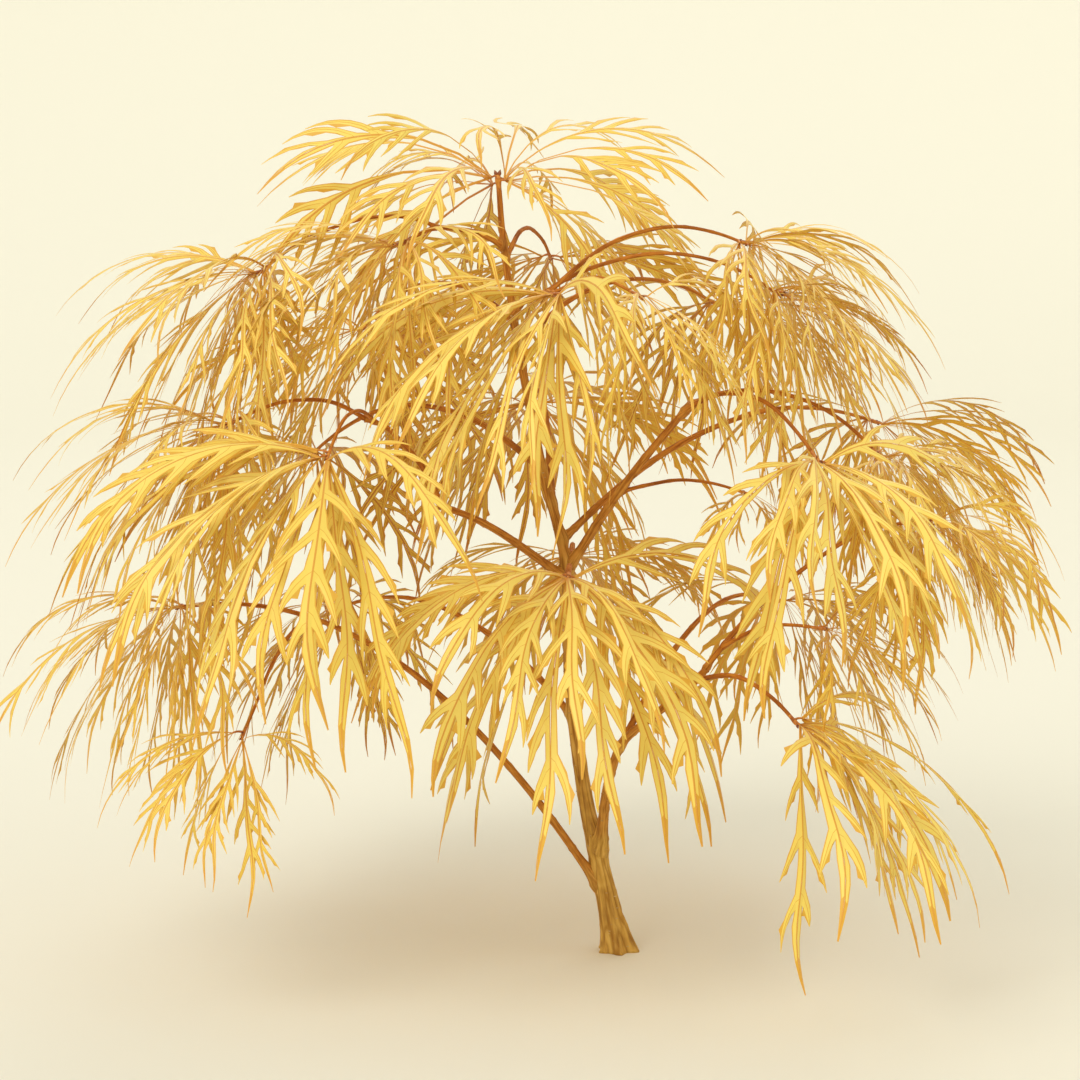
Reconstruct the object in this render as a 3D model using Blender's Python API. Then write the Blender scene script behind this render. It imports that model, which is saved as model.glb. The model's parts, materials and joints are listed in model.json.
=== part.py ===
"""A young laceleaf Japanese maple in gold autumn leaf, rooted in the ground.

The trunk leans to the left from a flared foot that is cut flat at ground level. Boughs leave it in
tiers and arch outwards, and each bough carries one mass of foliage: a short stem with long, drooping
leaf lobes fused to it. Lengths are in metres and +Z is up. The origin is the middle of the ground cut.
The side that faces -Y is the front, and +X is to its right.
"""

import math
import random
from collections import namedtuple

import bpy
from mathutils import Quaternion, Vector
from mathutils.bvhtree import BVHTree

SEED = 41
UP = Vector((0.0, 0.0, 1.0))
CLEAR = 0.0003
# Two steps that spread points evenly over a square
STEP_ROUND = 0.618034
STEP_UP = 0.414214

# The trunk, from the ground to its tip
TRUNK_LINE = (
    (0.000, 0.000, 0.000),
    (-0.012, 0.002, 0.062),
    (-0.024, 0.004, 0.120),
    (-0.034, 0.004, 0.202),
    (-0.037, 0.000, 0.285),
    (-0.056, -0.004, 0.365),
    (-0.073, -0.002, 0.455),
    (-0.082, 0.000, 0.520),
    (-0.085, 0.000, 0.556),
)
TRUNK_FOOT_RADIUS = 0.0100
TRUNK_TIP_RADIUS = 0.0019
TRUNK_TAPER = 0.42
FLARE = 0.0042
FLARE_HEIGHT = 0.022
FLARE_LOBES = 5
FLARE_DEPTH = 0.35
TRUNK_SIDES = 10
TRUNK_RINGS = 18

# The second stem forks off low, close beside the trunk, and bends away from it at its nodes
STEM_BENDS = (
    (-0.010, -0.004, 0.088),
    (-0.008, -0.014, 0.116),
    (-0.004, -0.024, 0.142),
    (0.004, -0.035, 0.165),
    (0.031, -0.053, 0.193),
)

# The boughs: each leaves its parent at a share of the parent's length, runs to its tip, and rises
# in its middle above the straight line between its ends, or goes through the bends that it is given
LIMB_SIDES = 6
LIMB_RINGS = 6
BARKED_FROM = 0.0024
Limb = namedtuple("Limb", "name parent share tip rise base_radius tip_radius bends", defaults=((),))
LIMBS = (
    Limb("second_stem", "trunk", 0.135, (0.061, -0.070, 0.224), 0.0, 0.0042, 0.0024, STEM_BENDS),
    Limb("low_left_bough", "trunk", 0.075, (-0.302, -0.045, 0.265), 0.066, 0.0030, 0.0013),
    Limb("low_front_left_twig", "low_left_bough", 0.72, (-0.257, -0.135, 0.197), 0.014, 0.0015, 0.0010),
    Limb("low_front_right_bough", "second_stem", 0.93, (0.112, -0.175, 0.213), 0.016, 0.0020, 0.0013),
    Limb("right_outer_bough", "second_stem", 0.985, (0.204, -0.080, 0.330), 0.024, 0.0020, 0.0012),
    Limb("low_right_twig", "right_outer_bough", 0.09, (0.131, -0.112, 0.262), 0.008, 0.0016, 0.0011),
    Limb("left_bough", "trunk", 0.485, (-0.126, -0.050, 0.337), 0.006, 0.0033, 0.0022),
    Limb("left_rising_bough", "left_bough", 0.985, (-0.178, -0.062, 0.400), 0.014, 0.0021, 0.0016),
    Limb("left_outer_bough", "left_rising_bough", 0.985, (-0.268, -0.036, 0.397), 0.014, 0.0016, 0.0011),
    Limb("left_front_bough", "left_rising_bough", 0.88, (-0.197, -0.142, 0.390), 0.016, 0.0015, 0.0011),
    Limb("right_bough", "trunk", 0.495, (0.049, -0.060, 0.411), 0.006, 0.0036, 0.0023),
    Limb("right_front_bough", "right_bough", 0.90, (0.127, -0.142, 0.388), 0.028, 0.0020, 0.0012),
    Limb("right_far_bough", "right_bough", 0.985, (0.177, -0.048, 0.378), 0.024, 0.0018, 0.0012),
    Limb("right_inner_twig", "right_bough", 0.42, (0.082, -0.030, 0.346), 0.008, 0.0015, 0.0010),
    Limb("low_centre_bough", "trunk", 0.470, (-0.036, -0.092, 0.296), 0.012, 0.0024, 0.0016),
    Limb("centre_bough", "trunk", 0.770, (-0.046, -0.084, 0.489), 0.006, 0.0024, 0.0017),
    Limb("upper_right_bough", "centre_bough", 0.84, (0.080, -0.024, 0.523), 0.024, 0.0017, 0.0011),
    Limb("upper_right_lower_bough", "centre_bough", 0.72, (0.102, -0.062, 0.492), 0.026, 0.0016, 0.0010),
    Limb("upper_centre_twig", "centre_bough", 0.93, (0.005, -0.116, 0.494), 0.010, 0.0014, 0.0010),
    Limb("upper_left_bough", "trunk", 0.865, (-0.146, -0.030, 0.524), 0.010, 0.0021, 0.0014),
    Limb("upper_left_outer_bough", "upper_left_bough", 0.72, (-0.246, -0.022, 0.505), 0.018, 0.0014, 0.0010),
    Limb("back_top_bough", "trunk", 0.845, (-0.050, 0.105, 0.505), 0.020, 0.0019, 0.0011),
    Limb("back_upper_left_bough", "trunk", 0.760, (-0.185, 0.125, 0.450), 0.030, 0.0021, 0.0011),
    Limb("back_upper_right_bough", "trunk", 0.735, (0.070, 0.120, 0.468), 0.030, 0.0021, 0.0011),
    Limb("back_left_bough", "trunk", 0.610, (-0.225, 0.150, 0.352), 0.040, 0.0026, 0.0012),
    Limb("back_centre_bough", "trunk", 0.570, (-0.060, 0.185, 0.385), 0.036, 0.0026, 0.0012),
    Limb("back_right_bough", "trunk", 0.530, (0.190, 0.120, 0.378), 0.040, 0.0028, 0.0012),
    Limb("back_low_left_bough", "trunk", 0.330, (-0.200, 0.150, 0.232), 0.034, 0.0026, 0.0012),
    Limb("back_low_centre_bough", "trunk", 0.410, (-0.030, 0.205, 0.262), 0.034, 0.0026, 0.0012),
    Limb("back_low_right_bough", "second_stem", 0.62, (0.125, 0.150, 0.235), 0.040, 0.0026, 0.0012),
)

# The masses: each sits on a limb's tip with a number of lobes of a usual length. It faces a
# direction in degrees from +X, and its lobes spread so far to either side of that. Its highest
# lobes end at a slope of droop degrees. The lobes set off at slopes from lowest to highest.
Mass = namedtuple("Mass", "name limb lobes length facing spread droop lowest highest", defaults=(-60, 32))
MASSES = (
    Mass("top_foliage", "trunk", 21, 0.168, -90, 180, -42, -30, 54),
    Mass("centre_foliage", "centre_bough", 20, 0.190, -140, 75, -66),
    Mass("low_centre_foliage", "low_centre_bough", 21, 0.200, -97, 125, -76),
    Mass("left_front_foliage", "left_front_bough", 20, 0.218, -135, 85, -74),
    Mass("right_front_foliage", "right_front_bough", 18, 0.164, -55, 95, -76),
    Mass("low_front_right_foliage", "low_front_right_bough", 15, 0.180, -25, 76, -76),
    Mass("left_outer_foliage", "left_outer_bough", 18, 0.182, 182, 105, -62),
    Mass("right_far_foliage", "right_far_bough", 17, 0.139, -8, 105, -74),
    Mass("upper_right_foliage", "upper_right_bough", 17, 0.155, -10, 100, -62),
    Mass("upper_left_outer_foliage", "upper_left_outer_bough", 18, 0.168, 185, 105, -56),
    Mass("low_left_foliage", "low_left_bough", 17, 0.150, 192, 105, -70),
    Mass("right_outer_foliage", "right_outer_bough", 14, 0.130, -50, 85, -78),
    Mass("upper_left_foliage", "upper_left_bough", 15, 0.157, -150, 100, -54),
    Mass("upper_right_lower_foliage", "upper_right_lower_bough", 11, 0.135, -25, 85, -62),
    Mass("upper_centre_foliage", "upper_centre_twig", 11, 0.132, -40, 90, -66),
    Mass("low_right_foliage", "low_right_twig", 11, 0.120, -25, 90, -60),
    Mass("low_front_left_foliage", "low_front_left_twig", 8, 0.112, -115, 75, -72),
    Mass("right_inner_foliage", "right_inner_twig", 8, 0.085, -30, 110, -50),
    Mass("back_top_foliage", "back_top_bough", 14, 0.160, 85, 130, -48),
    Mass("back_upper_left_foliage", "back_upper_left_bough", 15, 0.170, 140, 115, -54),
    Mass("back_upper_right_foliage", "back_upper_right_bough", 15, 0.168, 45, 110, -54),
    Mass("back_left_foliage", "back_left_bough", 15, 0.165, 150, 115, -64),
    Mass("back_centre_foliage", "back_centre_bough", 16, 0.175, 95, 120, -66),
    Mass("back_right_foliage", "back_right_bough", 15, 0.160, 35, 115, -66),
    Mass("back_low_left_foliage", "back_low_left_bough", 14, 0.150, 145, 115, -70),
    Mass("back_low_centre_foliage", "back_low_centre_bough", 14, 0.165, 90, 120, -70),
    Mass("back_low_right_foliage", "back_low_right_bough", 14, 0.155, 40, 115, -70),
)

# A mass's stem, and the stretch of it that the lobes grow from
STEM_LENGTH = 0.034
STEM_RADIUS = 0.0017
STEM_TAPER = 0.8
STEM_SIDES = 3
LOBES_FROM = 0.12
LOBES_TO = 0.95

# A lobe: its end's slope where it sets off lowest, and its size
SLOPE_LOW_END = math.radians(-84)
LENGTH_SPREAD = 0.16
WIDTH_SPREAD = 0.15
ROLL_SPREAD = math.radians(28)
LOBE_STEPS = 24
HALF_WIDTH = 0.0070
THICKNESS = 0.0024
RIDGE_SHARE = 0.6
# Its cross-sections: how far along, its width to the left and the right, and its thickness, as
# shares of the lobe's own measures
Station = namedtuple("Station", "along left right thick")
STATIONS = (
    Station(0.00, 0.06, 0.06, 0.34),
    Station(0.17, 0.12, 0.12, 0.60),
    Station(0.42, 1.00, 0.62, 1.00),
    Station(0.70, 0.42, 0.74, 0.90),
)
# A blade's upper side looks partly up and partly out from the plant
LOOKS_UP = 0.6
LOOKS_OUT = 0.8

# A lobe that finds no room is turned, tilted or shortened, in this order, and else left out
TURNS_TRIED = (0, 8, -8, 16, -16, 26, -26, 38, -38, 52, -52)
TILTS_TRIED = (0, -10, 10, -22, 22)
SHARES_TRIED = (1.0, 0.82)
GROUND_ROOM = 0.012
ROOT_SHARE = 0.25

BARK = ("bark", (0.250, 0.130, 0.060), 0.80)
TWIG = ("red_brown_twig", (0.330, 0.110, 0.045), 0.60)
LEAF = ("gold_leaf", (0.840, 0.560, 0.100), 0.55)
SHARP_EDGE = math.radians(50)


def clear_scene():
    for thing in list(bpy.data.objects):
        bpy.data.objects.remove(thing)


def material(finish):
    name, colour, roughness = finish
    made = bpy.data.materials.get(name) or bpy.data.materials.new(name)
    made.use_nodes = True
    shader = made.node_tree.nodes["Principled BSDF"]
    shader.inputs["Base Color"].default_value = (*colour, 1.0)
    shader.inputs["Roughness"].default_value = roughness
    shader.inputs["Metallic"].default_value = 0.0
    return made


def new_object(name, skin, finish, collection=None):
    points, faces = skin
    mesh = bpy.data.meshes.new(name)
    mesh.from_pydata([tuple(p) for p in points], [], faces)
    mesh.materials.append(material(finish))
    made = bpy.data.objects.new(name, mesh)
    (collection or bpy.context.scene.collection).objects.link(made)
    return made


def new_cutter(name, skin):
    cutter = new_object(name, skin, BARK)
    cutter.hide_render = True
    cutter.display_type = "WIRE"
    return cutter


def smooth_line(points, steps):
    """A Catmull-Rom curve through the points, read at even shares."""
    known = [Vector(p) for p in points]
    known = [2 * known[0] - known[1], *known, 2 * known[-1] - known[-2]]
    spans = len(points) - 1
    line = []
    for step in range(steps + 1):
        span = min(step * spans // steps, spans - 1)
        t = step * spans / steps - span
        a, b, c, d = known[span : span + 4]
        bend = (2 * a - 5 * b + 4 * c - d) * t * t + (3 * b - a - 3 * c + d) * t**3
        line.append(0.5 * (2 * b + (c - a) * t + bend))
    return line


def arched_line(start, tip, rise, steps):
    """A limb's middle line, which rises above the straight line between its ends."""
    line = []
    for step in range(steps + 1):
        t = step / steps
        line.append(start.lerp(tip, t) + UP * (4 * rise * t * (1 - t)))
    return line


def middle_line(start, limb):
    if limb.bends:
        return smooth_line([start, *limb.bends, limb.tip], LIMB_RINGS)
    return arched_line(start, Vector(limb.tip), limb.rise, LIMB_RINGS)


def point_on(line, share):
    index = int(share * (len(line) - 1))
    return line[index].lerp(line[index + 1], share * (len(line) - 1) - index)


def directions(line):
    found = []
    for index in range(len(line)):
        ahead = line[min(index + 1, len(line) - 1)]
        behind = line[max(index - 1, 0)]
        found.append((ahead - behind).normalized())
    return found


def closed_skin(rings):
    """Joins rings of equally many points into a closed skin with flat ends."""
    sides = len(rings[0])
    points = [p for ring in rings for p in ring]
    faces = [tuple(reversed(range(sides)))]
    for level in range(len(rings) - 1):
        low, high = level * sides, (level + 1) * sides
        for side in range(sides):
            after = (side + 1) % sides
            faces.append((low + side, low + after, high + after, high + side))
    last = (len(rings) - 1) * sides
    faces.append(tuple(range(last, last + sides)))
    return points, faces


def tube_skin(line, ways, sides, radius_at):
    """A tube along a line, with its rings turned as little as the bends need."""
    across = ways[0].cross(Vector((0.0, 1.0, 0.0))).normalized()
    rings = []
    for index, middle in enumerate(line):
        if index:
            across = ways[index - 1].rotation_difference(ways[index]) @ across
        ring = []
        for side in range(sides):
            angle = math.tau * side / sides
            spoke = Quaternion(ways[index], angle) @ across
            ring.append(middle + radius_at(index, angle) * spoke)
        rings.append(ring)
    return closed_skin(rings)


def trunk_skin(line, extra=0.0):
    """The trunk: level at the ground, with a root flare that has shallow lobes."""
    ways = directions(line)
    ways[0] = UP

    def radius_at(index, angle):
        share = index / TRUNK_RINGS
        taper = TRUNK_FOOT_RADIUS + (TRUNK_TIP_RADIUS - TRUNK_FOOT_RADIUS) * share**TRUNK_TAPER
        flare = FLARE * math.exp(-line[index].z / FLARE_HEIGHT)
        return taper + flare * (1 + FLARE_DEPTH * math.cos(FLARE_LOBES * angle)) + extra

    return tube_skin(line, ways, TRUNK_SIDES, radius_at)


def limb_skin(line, limb, extra=0.0):
    def radius_at(index, _angle):
        share = index / LIMB_RINGS
        return limb.base_radius + (limb.tip_radius - limb.base_radius) * share + extra

    return tube_skin(line, directions(line), LIMB_SIDES, radius_at)


def shade_round(thing):
    thing.data.shade_smooth()
    thing.data.set_sharp_from_angle(angle=SHARP_EDGE)


def make_limbs():
    """Makes the trunk and the boughs, each cut clear of its parent. Gives their middle lines."""
    lines = {"trunk": smooth_line(TRUNK_LINE, TRUNK_RINGS)}
    shade_round(new_object("trunk", trunk_skin(lines["trunk"]), BARK))
    cutters = {"trunk": new_cutter("trunk_cutter", trunk_skin(lines["trunk"], CLEAR))}
    for limb in LIMBS:
        start = point_on(lines[limb.parent], limb.share)
        line = middle_line(start, limb)
        finish = BARK if limb.base_radius >= BARKED_FROM else TWIG
        thing = new_object(limb.name, limb_skin(line, limb), finish)
        shade_round(thing)
        seat = thing.modifiers.new("seat", "BOOLEAN")
        seat.operation = "DIFFERENCE"
        seat.solver = "EXACT"
        seat.object = cutters[limb.parent]
        lines[limb.name] = line
        cutters[limb.name] = new_cutter(limb.name + "_cutter", limb_skin(line, limb, CLEAR))
    return lines


def stem_skin(limb_line, extra=0.0):
    """A mass's stem. It carries on in line from its limb's tip, the clear distance off."""
    out = directions(limb_line)[-1]
    root = limb_line[-1] + out * (CLEAR - extra)
    line = [root, root + out * (STEM_LENGTH + extra)]

    def radius_at(index, _angle):
        return STEM_RADIUS * (STEM_TAPER if index else 1.0) + extra

    return tube_skin(line, [out, out], STEM_SIDES, radius_at)


def heading(azimuth, slope):
    flat = math.cos(slope)
    return Vector((math.cos(azimuth) * flat, math.sin(azimuth) * flat, math.sin(slope)))


def lobe_plan(mass, out):
    """Each lobe's azimuth, first slope and end slope. Those most in line with the stem come last."""
    plan = []
    facing, spread, droop = map(math.radians, (mass.facing, mass.spread, mass.droop))
    for index in range(mass.lobes):
        azimuth = facing + spread * (2 * ((index * STEP_ROUND + 0.5) % 1.0) - 1)
        height = (index * STEP_UP + 0.3) % 1.0
        slope = math.radians(mass.lowest + (mass.highest - mass.lowest) * height)
        end_slope = SLOPE_LOW_END + (droop - SLOPE_LOW_END) * height
        plan.append((azimuth, slope, end_slope))
    return sorted(plan, key=lambda lobe: heading(lobe[0], lobe[1]).dot(out))


def lobe_line(start, azimuth, slope, end_slope, length):
    """A lobe's middle line: it sets off at one slope and bends evenly down to the other."""
    line = [start.copy()]
    for index in range(LOBE_STEPS):
        share = (index + 0.5) / LOBE_STEPS
        here = slope + (end_slope - slope) * share
        line.append(line[-1] + heading(azimuth, here) * (length / LOBE_STEPS))
    return line


def lobe_skin(line, looks_to, roll, half_width, extra=0.0):
    """A lobe: a thin stalk that widens to a blade with a ridge on top, and narrows to a point."""
    ways = directions(line)
    points = []
    for station in STATIONS:
        index = round(station.along * LOBE_STEPS)
        across = (Quaternion(ways[index], roll) @ ways[index].cross(looks_to)).normalized()
        top = across.cross(ways[index]).normalized()
        below = top * (THICKNESS * station.thick * (1 - RIDGE_SHARE) + extra)
        points.append(line[index] - across * (half_width * station.left + extra) - below)
        points.append(line[index] + across * (half_width * station.right + extra) - below)
        points.append(line[index] + top * (THICKNESS * station.thick * RIDGE_SHARE + extra))
    tip = len(points)
    points.append(line[-1] + ways[-1] * extra)
    faces = [(0, 1, 2)]
    for low in range(0, tip - 3, 3):
        for side in range(3):
            after = (side + 1) % 3
            faces.append((low + side, low + 3 + side, low + 3 + after))
            faces.append((low + side, low + 3 + after, low + after))
    for side in range(3):
        faces.append((tip - 3 + side, tip, tip - 3 + (side + 1) % 3))
    return points, faces


def search_tree(skin):
    points, faces = skin
    return BVHTree.FromPolygons([tuple(p) for p in points], faces)


def without_root(skin):
    """A lobe without the root of its stalk, which is where it may run into its neighbours."""
    points, faces = skin
    roots = [points[corner].lerp(points[corner + 3], ROOT_SHARE) for corner in range(3)]
    return roots + points[3:], faces


def has_room(skin, others, neighbours):
    """Whether a lobe keeps clear of the ground, all other parts and its own mass's lobes."""
    if min(p.z for p in skin[0]) < GROUND_ROOM:
        return False
    tree = search_tree(skin)
    if any(tree.overlap(other) for other in others):
        return False
    free = search_tree(without_root(skin))
    return not any(free.overlap(whole) or tree.overlap(rootless) for whole, rootless in neighbours)


def fitted_lobe(start, lobe, length, looks_to, roll, half_width, others, neighbours):
    """The lobe's skin, and the same the clear distance fatter, at the first try that has room."""
    azimuth, slope, end_slope = lobe
    for share in SHARES_TRIED:
        for tilt in TILTS_TRIED:
            for turn in TURNS_TRIED:
                way = azimuth + math.radians(turn)
                line = lobe_line(start, way, slope + math.radians(tilt), end_slope, length * share)
                fat = lobe_skin(line, looks_to, roll, half_width, CLEAR)
                if has_room(fat, others, neighbours):
                    return lobe_skin(line, looks_to, roll, half_width), fat
    return None, None


def joined(stem, helpers):
    """One Boolean union of the stem with all that grows on it, applied."""
    union = stem.modifiers.new("grown together", "BOOLEAN")
    union.operation = "UNION"
    union.operand_type = "COLLECTION"
    union.collection = helpers
    union.solver = "MANIFOLD"
    graph = bpy.context.evaluated_depsgraph_get()
    mesh = bpy.data.meshes.new_from_object(stem.evaluated_get(graph))
    stem.modifiers.clear()
    stem.data = mesh
    for helper in list(helpers.objects):
        bpy.data.objects.remove(helper)
    bpy.data.collections.remove(helpers)
    return skin_of(mesh)


def skin_of(mesh):
    mesh.calc_loop_triangles()
    return [v.co.copy() for v in mesh.vertices], [tuple(t.vertices) for t in mesh.loop_triangles]


def make_mass(mass, limb_line, others, dice):
    """Makes one mass of foliage on its limb's tip, clear of all the others."""
    out = directions(limb_line)[-1]
    stem = new_object(mass.name, stem_skin(limb_line), LEAF)
    helpers = bpy.data.collections.new(mass.name + "_lobes")
    bpy.context.scene.collection.children.link(helpers)
    looks_to = LOOKS_UP * UP + LOOKS_OUT * heading(math.radians(mass.facing), 0.0)
    neighbours = []
    for index, lobe in enumerate(lobe_plan(mass, out)):
        share = LOBES_FROM + (LOBES_TO - LOBES_FROM) * (index + 0.5) / mass.lobes
        start = limb_line[-1] + out * (CLEAR + STEM_LENGTH * share)
        length = mass.length * (1 + LENGTH_SPREAD * dice.uniform(-1, 1))
        roll = ROLL_SPREAD * dice.uniform(-1, 1)
        half_width = HALF_WIDTH * (1 + WIDTH_SPREAD * dice.uniform(-1, 1))
        skin, fat = fitted_lobe(start, lobe, length, looks_to, roll, half_width, others, neighbours)
        if skin:
            new_object(f"{mass.name}_lobe_{index}", skin, LEAF, helpers)
            neighbours.append((search_tree(fat), search_tree(without_root(fat))))
    print(f"{mass.name}: {len(neighbours)} of {mass.lobes} lobes")
    return joined(stem, helpers)


def main():
    clear_scene()
    dice = random.Random(SEED)
    lines = make_limbs()
    bpy.context.view_layer.update()
    graph = bpy.context.evaluated_depsgraph_get()
    made = [search_tree(skin_of(bpy.data.objects[name].evaluated_get(graph).to_mesh())) for name in lines]
    stems = {mass.name: search_tree(stem_skin(lines[mass.limb], CLEAR)) for mass in MASSES}
    for mass in MASSES:
        others = made + [stem for name, stem in stems.items() if name != mass.name]
        made.append(search_tree(make_mass(mass, lines[mass.limb], others, dice)))


main()
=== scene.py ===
# %% [markdown]
# A laceleaf maple in gold autumn leaf
#
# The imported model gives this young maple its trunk, its boughs and one plain solid for each mass of
# foliage. This lesson gives it its looks. The limbs get bark with real relief, and each mass gives
# way to stalks and finely cut leaves that grow by the same rule as the solids did. Lengths are in
# metres, +Z is up, and the side that faces -Y is the front.

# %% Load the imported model
import json
import math
from collections import namedtuple

import bpy
import numpy as np
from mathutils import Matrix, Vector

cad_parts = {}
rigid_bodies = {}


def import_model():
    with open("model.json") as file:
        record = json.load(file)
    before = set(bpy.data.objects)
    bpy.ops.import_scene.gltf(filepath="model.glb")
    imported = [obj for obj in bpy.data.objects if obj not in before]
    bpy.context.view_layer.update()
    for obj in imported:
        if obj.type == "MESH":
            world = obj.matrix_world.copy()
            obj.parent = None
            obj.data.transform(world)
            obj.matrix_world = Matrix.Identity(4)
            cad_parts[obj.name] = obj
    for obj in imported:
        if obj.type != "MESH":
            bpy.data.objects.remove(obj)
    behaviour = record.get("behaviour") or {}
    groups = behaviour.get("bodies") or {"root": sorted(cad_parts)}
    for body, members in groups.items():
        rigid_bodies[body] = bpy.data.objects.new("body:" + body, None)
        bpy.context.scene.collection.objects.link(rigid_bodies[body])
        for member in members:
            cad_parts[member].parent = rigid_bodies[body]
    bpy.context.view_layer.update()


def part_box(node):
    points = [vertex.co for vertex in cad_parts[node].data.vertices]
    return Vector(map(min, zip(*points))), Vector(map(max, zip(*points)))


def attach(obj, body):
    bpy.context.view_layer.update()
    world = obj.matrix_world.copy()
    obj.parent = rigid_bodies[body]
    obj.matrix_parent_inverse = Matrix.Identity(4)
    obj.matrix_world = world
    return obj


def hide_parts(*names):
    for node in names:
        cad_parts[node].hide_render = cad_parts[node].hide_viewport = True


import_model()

BODY = "root"
UP = np.array((0.0, 0.0, 1.0))

# %% [markdown]
# The plan of growth
#
# A tree is drawn from the trunk outwards: each limb leaves its parent at a share of the parent's
# length and arches to its tip. Only the second stem bends at its nodes instead. These are the driving
# sizes that the solids were made from, so what grows here grows on from the same limbs. Reading them
# from the solids' meshes would work too, but a table can be read and changed by a person.

# %% The trunk and the limbs
TRUNK_LINE = (
    (0.000, 0.000, 0.000),
    (-0.012, 0.002, 0.062),
    (-0.024, 0.004, 0.120),
    (-0.034, 0.004, 0.202),
    (-0.037, 0.000, 0.285),
    (-0.056, -0.004, 0.365),
    (-0.073, -0.002, 0.455),
    (-0.082, 0.000, 0.520),
    (-0.085, 0.000, 0.556),
)
TRUNK_FOOT_RADIUS = 0.0100
TRUNK_TIP_RADIUS = 0.0019
TRUNK_TAPER = 0.42
STEM_BENDS = (
    (-0.010, -0.004, 0.088),
    (-0.008, -0.014, 0.116),
    (-0.004, -0.024, 0.142),
    (0.004, -0.035, 0.165),
    (0.031, -0.053, 0.193),
)

Limb = namedtuple("Limb", "name parent share tip rise base_radius tip_radius bends", defaults=((),))
LIMBS = (
    Limb("second_stem", "trunk", 0.135, (0.061, -0.070, 0.224), 0.0, 0.0042, 0.0024, STEM_BENDS),
    Limb("low_left_bough", "trunk", 0.075, (-0.302, -0.045, 0.265), 0.066, 0.0030, 0.0013),
    Limb("low_front_left_twig", "low_left_bough", 0.72, (-0.257, -0.135, 0.197), 0.014, 0.0015, 0.0010),
    Limb("low_front_right_bough", "second_stem", 0.93, (0.112, -0.175, 0.213), 0.016, 0.0020, 0.0013),
    Limb("right_outer_bough", "second_stem", 0.985, (0.204, -0.080, 0.330), 0.024, 0.0020, 0.0012),
    Limb("low_right_twig", "right_outer_bough", 0.09, (0.131, -0.112, 0.262), 0.008, 0.0016, 0.0011),
    Limb("left_bough", "trunk", 0.485, (-0.126, -0.050, 0.337), 0.006, 0.0033, 0.0022),
    Limb("left_rising_bough", "left_bough", 0.985, (-0.178, -0.062, 0.400), 0.014, 0.0021, 0.0016),
    Limb("left_outer_bough", "left_rising_bough", 0.985, (-0.268, -0.036, 0.397), 0.014, 0.0016, 0.0011),
    Limb("left_front_bough", "left_rising_bough", 0.88, (-0.197, -0.142, 0.390), 0.016, 0.0015, 0.0011),
    Limb("right_bough", "trunk", 0.495, (0.049, -0.060, 0.411), 0.006, 0.0036, 0.0023),
    Limb("right_front_bough", "right_bough", 0.90, (0.127, -0.142, 0.388), 0.028, 0.0020, 0.0012),
    Limb("right_far_bough", "right_bough", 0.985, (0.177, -0.048, 0.378), 0.024, 0.0018, 0.0012),
    Limb("right_inner_twig", "right_bough", 0.42, (0.082, -0.030, 0.346), 0.008, 0.0015, 0.0010),
    Limb("low_centre_bough", "trunk", 0.470, (-0.036, -0.092, 0.296), 0.012, 0.0024, 0.0016),
    Limb("centre_bough", "trunk", 0.770, (-0.046, -0.084, 0.489), 0.006, 0.0024, 0.0017),
    Limb("upper_right_bough", "centre_bough", 0.84, (0.080, -0.024, 0.523), 0.024, 0.0017, 0.0011),
    Limb("upper_right_lower_bough", "centre_bough", 0.72, (0.102, -0.062, 0.492), 0.026, 0.0016, 0.0010),
    Limb("upper_centre_twig", "centre_bough", 0.93, (0.005, -0.116, 0.494), 0.010, 0.0014, 0.0010),
    Limb("upper_left_bough", "trunk", 0.865, (-0.146, -0.030, 0.524), 0.010, 0.0021, 0.0014),
    Limb("upper_left_outer_bough", "upper_left_bough", 0.72, (-0.246, -0.022, 0.505), 0.018, 0.0014, 0.0010),
    Limb("back_top_bough", "trunk", 0.845, (-0.050, 0.105, 0.505), 0.020, 0.0019, 0.0011),
    Limb("back_upper_left_bough", "trunk", 0.760, (-0.185, 0.125, 0.450), 0.030, 0.0021, 0.0011),
    Limb("back_upper_right_bough", "trunk", 0.735, (0.070, 0.120, 0.468), 0.030, 0.0021, 0.0011),
    Limb("back_left_bough", "trunk", 0.610, (-0.225, 0.150, 0.352), 0.040, 0.0026, 0.0012),
    Limb("back_centre_bough", "trunk", 0.570, (-0.060, 0.185, 0.385), 0.036, 0.0026, 0.0012),
    Limb("back_right_bough", "trunk", 0.530, (0.190, 0.120, 0.378), 0.040, 0.0028, 0.0012),
    Limb("back_low_left_bough", "trunk", 0.330, (-0.200, 0.150, 0.232), 0.034, 0.0026, 0.0012),
    Limb("back_low_centre_bough", "trunk", 0.410, (-0.030, 0.205, 0.262), 0.034, 0.0026, 0.0012),
    Limb("back_low_right_bough", "second_stem", 0.62, (0.125, 0.150, 0.235), 0.040, 0.0026, 0.0012),
)
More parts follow.
